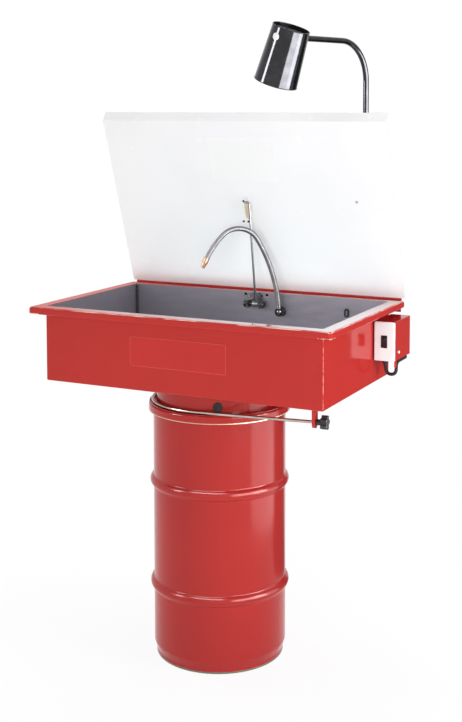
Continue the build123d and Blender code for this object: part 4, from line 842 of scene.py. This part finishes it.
def wound_tree(material):
    """Rounded turns of strip along a line: each rib is the root of a wave, at full depth."""
    tree = Tree(
        "wound hose", {"Radius": "Float", "Depth": "Float", "Ribs": "Float", "Rings": "Int"}
    )

    def sum_of(operation, *values):
        return tree.node("ShaderNodeMath", {"operation": operation}, dict(enumerate(values)))

    half = 0.5
    line = {"Curve": tree.given("Geometry"), "Count": tree.given("Rings")}
    fine = tree.node("GeometryNodeResampleCurve", {}, line)
    along = tree.node("GeometryNodeSplineParameter")
    part = sum_of("FRACT", sum_of("MULTIPLY", along, tree.given("Ribs")))
    crest = sum_of("POWER", sum_of("PINGPONG", part, half), half)
    swell = sum_of("MULTIPLY", crest, tree.given("Depth"))
    valley = sum_of("SUBTRACT", tree.given("Radius"), tree.given("Depth"))
    reach = sum_of("MULTIPLY_ADD", swell, half ** -half, valley)
    ring = {"Resolution": spout_sides, "Radius": 1.0}
    circle = tree.node("GeometryNodeCurvePrimitiveCircle", {}, ring)
    sweep = {"Curve": fine, "Profile Curve": circle, "Scale": reach, "Fill Caps": True}
    tree.close(tree.node("GeometryNodeCurveToMesh", {}, sweep), material)
    return tree


chrome = plated("chromed strip", (0.21, 0.205, 0.215), roughness=0.34)
spout_sizes = {
    "Radius": spout_radius,
    "Depth": rib_depth,
    "Ribs": float(rib_count),
    "Rings": rib_count * rings_per_rib + 1,
}
spout = wound_tree(chrome).grow(
    "spout_wound_hose", smooth_line("spout line", spout_points), spout_sizes
)
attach(spout, "spout")
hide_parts("spout_hose")
dress(black_plastic, "spout_fitting", "supply_elbow")
dress(zinc, "spout_locknut")
dress(plated("ball chrome", (0.20, 0.20, 0.21), roughness=0.14), "spout_ball")
dress(plated("nozzle copper brass", (0.47, 0.30, 0.21), roughness=0.26), "spout_nozzle")


# The supply hose: plain rubber hose from the pump, out through the collar and up the tub's back to
# the spout's elbow, held on its barbs by band clamps.
hose_points = [
    (0.078, 0.2533, 0.874),
    (0.078, 0.2533, 0.830),
    (0.078, 0.2640, 0.712),
    (0.078, 0.0550, 0.712),
    (0.078, 0.0550, 0.503),
    (0.078, 0.0550, 0.1092),
]
hose_radius = 0.0085
cord_rounding = 6


def round_cord(name, points, radius, material):
    """A round cord or hose of one thickness along a smooth line."""
    curve = smooth_line(name, points)
    curve.bevel_depth = radius
    curve.bevel_resolution = cord_rounding
    curve.use_fill_caps = True
    curve.materials.append(material)
    return add_piece(name, curve)


hose_rubber = rubber("hose rubber", (0.020, 0.020, 0.021), roughness=0.45)
hose = round_cord("supply_rubber_hose", hose_points, hose_radius, hose_rubber)
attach(hose, "stand")
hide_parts("supply_hose")
dress(zinc, "hose_clamps")


# The switch box: a folded steel box on spacers at the tub's right end, enamelled red, with a white
# cover plate, a rocker switch, a tab under it for the lead and a mains inlet at its back.
# Painted light: the cover plate's white is tinted cyan to cancel the tub's red bounce light.
cover_white_against_red_bounce, cover_shade_against_red_bounce = (0.88, 0.965, 0.97), (0.86, 0.945, 0.95)
dress(enamel("box enamel", tub_red), "box_body")
dress(white_enamel("cover plate enamel", cover_white_against_red_bounce, cover_shade_against_red_bounce), "box_plate")
dress(zinc, "box_spacers", "box_screw")
dress(black_plastic, "switch_body", "lead_gland", "mains_inlet")
dress(moulded("rocker plastic", (0.010, 0.010, 0.011), roughness=0.16), "switch_rocker")


# The pump's lead: a round black rubber cable out of the box's gland, looped under the box, along
# the tub's back, through the collar's sleeve and down to the pump's cap.
lead_points = [
    (0.420, 0.1410, 0.7970),
    (0.420, 0.1410, 0.7680),
    (0.452, 0.1370, 0.7680),
    (0.452, 0.1370, 0.8025),
    (0.452, 0.1715, 0.8025),
    (0.452, 0.2385, 0.8025),
    (0.3505, 0.2385, 0.8025),
    (0.1145, 0.2385, 0.8025),
    (0.030, 0.2385, 0.8025),
    (0.030, 0.2385, 0.7180),
    (0.030, 0.1540, 0.7180),
    (0.030, 0.0200, 0.7180),
    (0.030, 0.0200, 0.5840),
    (0.030, 0.0200, 0.1992),
]
lead_radius = 0.0045
lead_rubber = rubber("lead rubber", (0.016, 0.016, 0.017), roughness=0.4)
lead = round_cord("pump_rubber_lead", lead_points, lead_radius, lead_rubber)
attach(lead, "stand")
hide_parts("pump_lead")


# The lamp: a bent tube on a swivel base behind the tub, with a stem through its end that carries a
# spun shade, held by a white cap. Arm and shade are black chrome; the frosted bulb glows.
finger_scale, spun_scale = 40.0, 60.0
spun_draw, spun_height = (1.0, 1.0, 30.0), 0.00002
finger_pale = 1.35


def black_chrome(name, colour):
    """Dark plating, bright in reflections, with faint spinning lines and finger marks."""
    material, place = finish(name)
    smear = place.noise(finger_scale, 4.0)
    lines = place.stretch(spun_draw).noise(spun_scale)
    surface(place, {
        "Base Color": smear.rises(*handled_range).tint(colour, scaled(colour, finger_pale)),
        "Metallic": 1.0,
        "Roughness": 0.05 + 0.10 * smear,
        "Normal": lines.bump(spun_height),
    })
    return material


glass_pale, glass_deep = (0.93, 0.91, 0.86), (0.88, 0.86, 0.80)
glow_pale, glow_deep = (1.0, 0.95, 0.86), (1.0, 0.92, 0.80)
glow_strength = 1.8
frost_scale = 300.0


def bulb_finish():
    """Frosted glass that glows a warm white."""
    material, place = finish("bulb glass")
    frost = place.noise(frost_scale, 3.0)
    surface(place, {
        "Base Color": frost.tint(glass_pale, glass_deep),
        "Roughness": 0.35 + 0.2 * frost,
        "Emission Color": frost.tint(glow_pale, glow_deep),
        "Emission Strength": glow_strength,
        "Normal": frost.bump(fine_height),
    })
    return material


dress(black_steel, "lamp_bracket", "lamp_base")
dress(black_chrome("arm black chrome", (0.043, 0.043, 0.046)), "lamp_arm", "lamp_stem")
dress(black_chrome("shade black chrome", (0.042, 0.042, 0.046)), "lamp_shade")
dress(moulded("socket phenolic", (0.03, 0.028, 0.026), roughness=0.4), "lamp_socket")
dress(bulb_finish(), "lamp_bulb")

stem_middle = Vector((0.2096, -0.0187, 1.648))
stem_turn = radians(16)
stem_out = Vector((-sin(stem_turn), -cos(stem_turn), 0))
cap_reach = 0.0494
cap_foot = stem_middle + stem_out * cap_reach
cap_radius, cap_height = 0.010, 0.0034
cap_white, cap_shade = (0.90, 0.90, 0.905), (0.86, 0.86, 0.87)
upright = Vector((0, 0, 1))
cap = add_piece(
    "lamp_stem_cap",
    dome_mesh("stem cap", cap_foot, upright.cross(stem_out), upright, cap_radius, cap_height),
)
cap.data.materials.append(white_enamel("stem cap enamel", cap_white, cap_shade))
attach(cap, "lamp_head")


# The studio: a plain white floor and surround with an even fill, and soft boxes overhead and on all
# sides. Flagged cards show only in the gloss of round pieces, as does a dark cloth on the right.
def stage_sheet(name, corners, faces, material):
    """A flat sheet that belongs to the studio, not to the object."""
    mesh = bpy.data.meshes.new(name.replace("_", " "))
    mesh.from_pydata(corners, [], faces)
    mesh.materials.append(material)
    sheet = add_piece(name, mesh)
    return sheet


def seen_by(shade):
    """1 for a ray that shows the surround itself: straight, in a reflection or through glass."""
    kinds = ("Camera", "Glossy", "Transmission")
    rays = [shade.node("LightPath", {}, {}, f"Is {kind} Ray") for kind in kinds]
    return rays[0].larger(rays[1]).larger(rays[2])


floor_reach = 30.0
floor_grey = (0.92, 0.92, 0.92)
shadow_near, shadow_far = 0.5, 2.2
lit_least = 0.90
floor_paint, floor_place = finish("floor paint")
across, along = floor_place.parts()[:2]
away = (across * across + along * along).root().rises(shadow_near, shadow_far)
lit_share = seen_by(floor_place) * (lit_least + (1 - lit_least) * away)
shadowed = floor_place.node("BsdfDiffuse", {}, {"Color": floor_grey})
lit = floor_place.node("Emission", {}, {"Color": white, "Strength": 1.0})
floor_mix = {"Fac": lit_share, "Shader": shadowed, "Shader_001": lit}
floor_place.node("OutputMaterial", {}, {"Surface": floor_place.node("MixShader", {}, floor_mix)})
floor_corners = [
    (x * floor_reach, y * floor_reach, 0) for x, y in ((-1, -1), (1, -1), (1, 1), (-1, 1))
]
stage_sheet("studio_floor", floor_corners, [(0, 1, 2, 3)], floor_paint)

fill_light = 0.26
world = bpy.data.worlds.new("studio")
bpy.context.scene.world = world
world.use_nodes = True
world.node_tree.nodes.clear()
air = Shade(world.node_tree)
strength = fill_light + (1 - fill_light) * seen_by(air)
sky = air.node("Background", {}, {"Color": white, "Strength": strength})
air.node("OutputWorld", {}, {"Surface": sky})


def soft_box(name, place, aim, size, power, colour=white, shown_in=()):
    """A rectangular studio light, aimed at a point, that lights paint and leaves no reflection, or
    a card that is flagged so that it shows only in the gloss of the pieces given."""
    light = bpy.data.lights.new(name, "AREA")
    light.shape = "RECTANGLE"
    light.size, light.size_y = size
    light.energy = power
    light.color = colour
    box = add_piece(name, light)
    box.location = place
    box.rotation_euler = (Vector(aim) - Vector(place)).to_track_quat("-Z", "Y").to_euler()
    box.visible_camera = False
    box.visible_diffuse = not shown_in
    box.visible_glossy = bool(shown_in)
    if shown_in:
        flagged = bpy.data.collections.new(name + " pieces")
        for piece in shown_in:
            flagged.objects.link(piece)
        box.light_linking.receiver_collection = flagged


cool = (0.88, 1.0, 1.0)
wide, tall, overhead, tray = (2.6, 1.5), (1.0, 1.8), (2.4, 2.0), (0.7, 0.3)
soft_box("front soft box", (0.9, -3.5, 1.25), (0.0, 0.1, 1.0), wide, 73.0)
soft_box("right soft box", (2.4, -0.15, 1.2), (0.0, 0.0, 0.8), tall, 39.0)
soft_box("tub bounce card", (0.0, -0.03, 0.82), (0.0, 0.2, 1.3), tray, 1.05, cool)
soft_box("left soft box", (-2.6, 0.4, 1.2), (0.0, 0.0, 0.8), tall, 34.0)
soft_box("back soft box", (-0.6, 3.5, 1.4), (0.0, 0.2, 1.0), wide, 54.0)
soft_box("top soft box", (0.0, 0.3, 4.2), (0.0, 0.1, 1.0), overhead, 50.0)

drum = frame["nodes"]["drum"]
round_pieces = [spout, drum] + [frame["nodes"][name] for name in (
    "collar", "clamp_rod", "clamp_knob", "prop_bracket", "prop_knobs", "prop_pin", "prop_rod",
    "fusible_link", "spout_fitting", "spout_ball", "spout_nozzle", "switch_rocker", "box_screw",
    "lamp_base", "lamp_arm", "lamp_stem", "lamp_shade", "lamp_socket", "lamp_bulb",
)]
for name, place, aim, size, power, pieces in (
    ("drum band card", (2.4, 0.2, 1.2), (0.0, 0.0, 0.8), tall, 36.0, round_pieces),
    ("right shine card", (1.95, -0.45, 0.98), (0.2, 0.0, 1.1), (2.3, 1.3), 118.0, round_pieces),
    ("left shine bank", (-2.0, -1.8, 1.95), (0.1, 0.0, 1.2), (0.7, 1.1), 56.0, round_pieces),
    ("hoop shine card", (0.0, -1.7, 3.0), (0.0, 0.0, 0.4), (2.4, 0.7), 130.0, [drum]),
    ("drum shine card", (1.15, 0.3, 0.35), (0.0, 0.0, 0.4), (1.1, 0.7), 7.0, round_pieces),
):
    soft_box(name, place, aim, size, power, shown_in=pieces)

cloth_top = [(0.30, 2.10, 1.3), (1.85, 1.35, 1.3)]
cloth_fold = [(1.85, 1.35, 0.002), (0.30, 2.10, 0.002)]
cloth_hem = [(0.10, 0.62, 0.002), (0.62, 0.42, 0.002)]
cloth_black, cloth_grey = (0.10, 0.10, 0.10), (0.13, 0.13, 0.13)
cloth_scale = 200.0
cloth, cloth_place = finish("flag cloth")
weave = cloth_place.noise(cloth_scale).tint(cloth_black, cloth_grey)
matt = cloth_place.node("BsdfDiffuse", {}, {"Color": weave})
cloth_place.node("OutputMaterial", {}, {"Surface": matt})
cloth_faces = [(0, 1, 2, 3), (2, 5, 4, 3)]
flag = stage_sheet("studio_flag", cloth_top + cloth_fold + cloth_hem, cloth_faces, cloth)
flag.visible_camera = flag.visible_diffuse = False
flag.visible_transmission = flag.visible_shadow = False


# The camera: on the front right, above the tub's rim and looking slightly down, with the frame
# lowered to take in the drum.
look_down, look_left = 4.42, 25.71
camera_data = bpy.data.cameras.new("camera")
camera_data.lens = 61.38
camera_data.sensor_width = 36.0
camera_data.shift_x = -0.0318
camera_data.shift_y = -0.22
camera = add_piece("camera", camera_data)
camera.location = (1.5007, -2.9035, 1.4708)
camera.rotation_euler = (radians(90 - look_down), 0, radians(look_left))
bpy.context.scene.camera = camera
bpy.context.scene.view_settings.view_transform = "Standard"
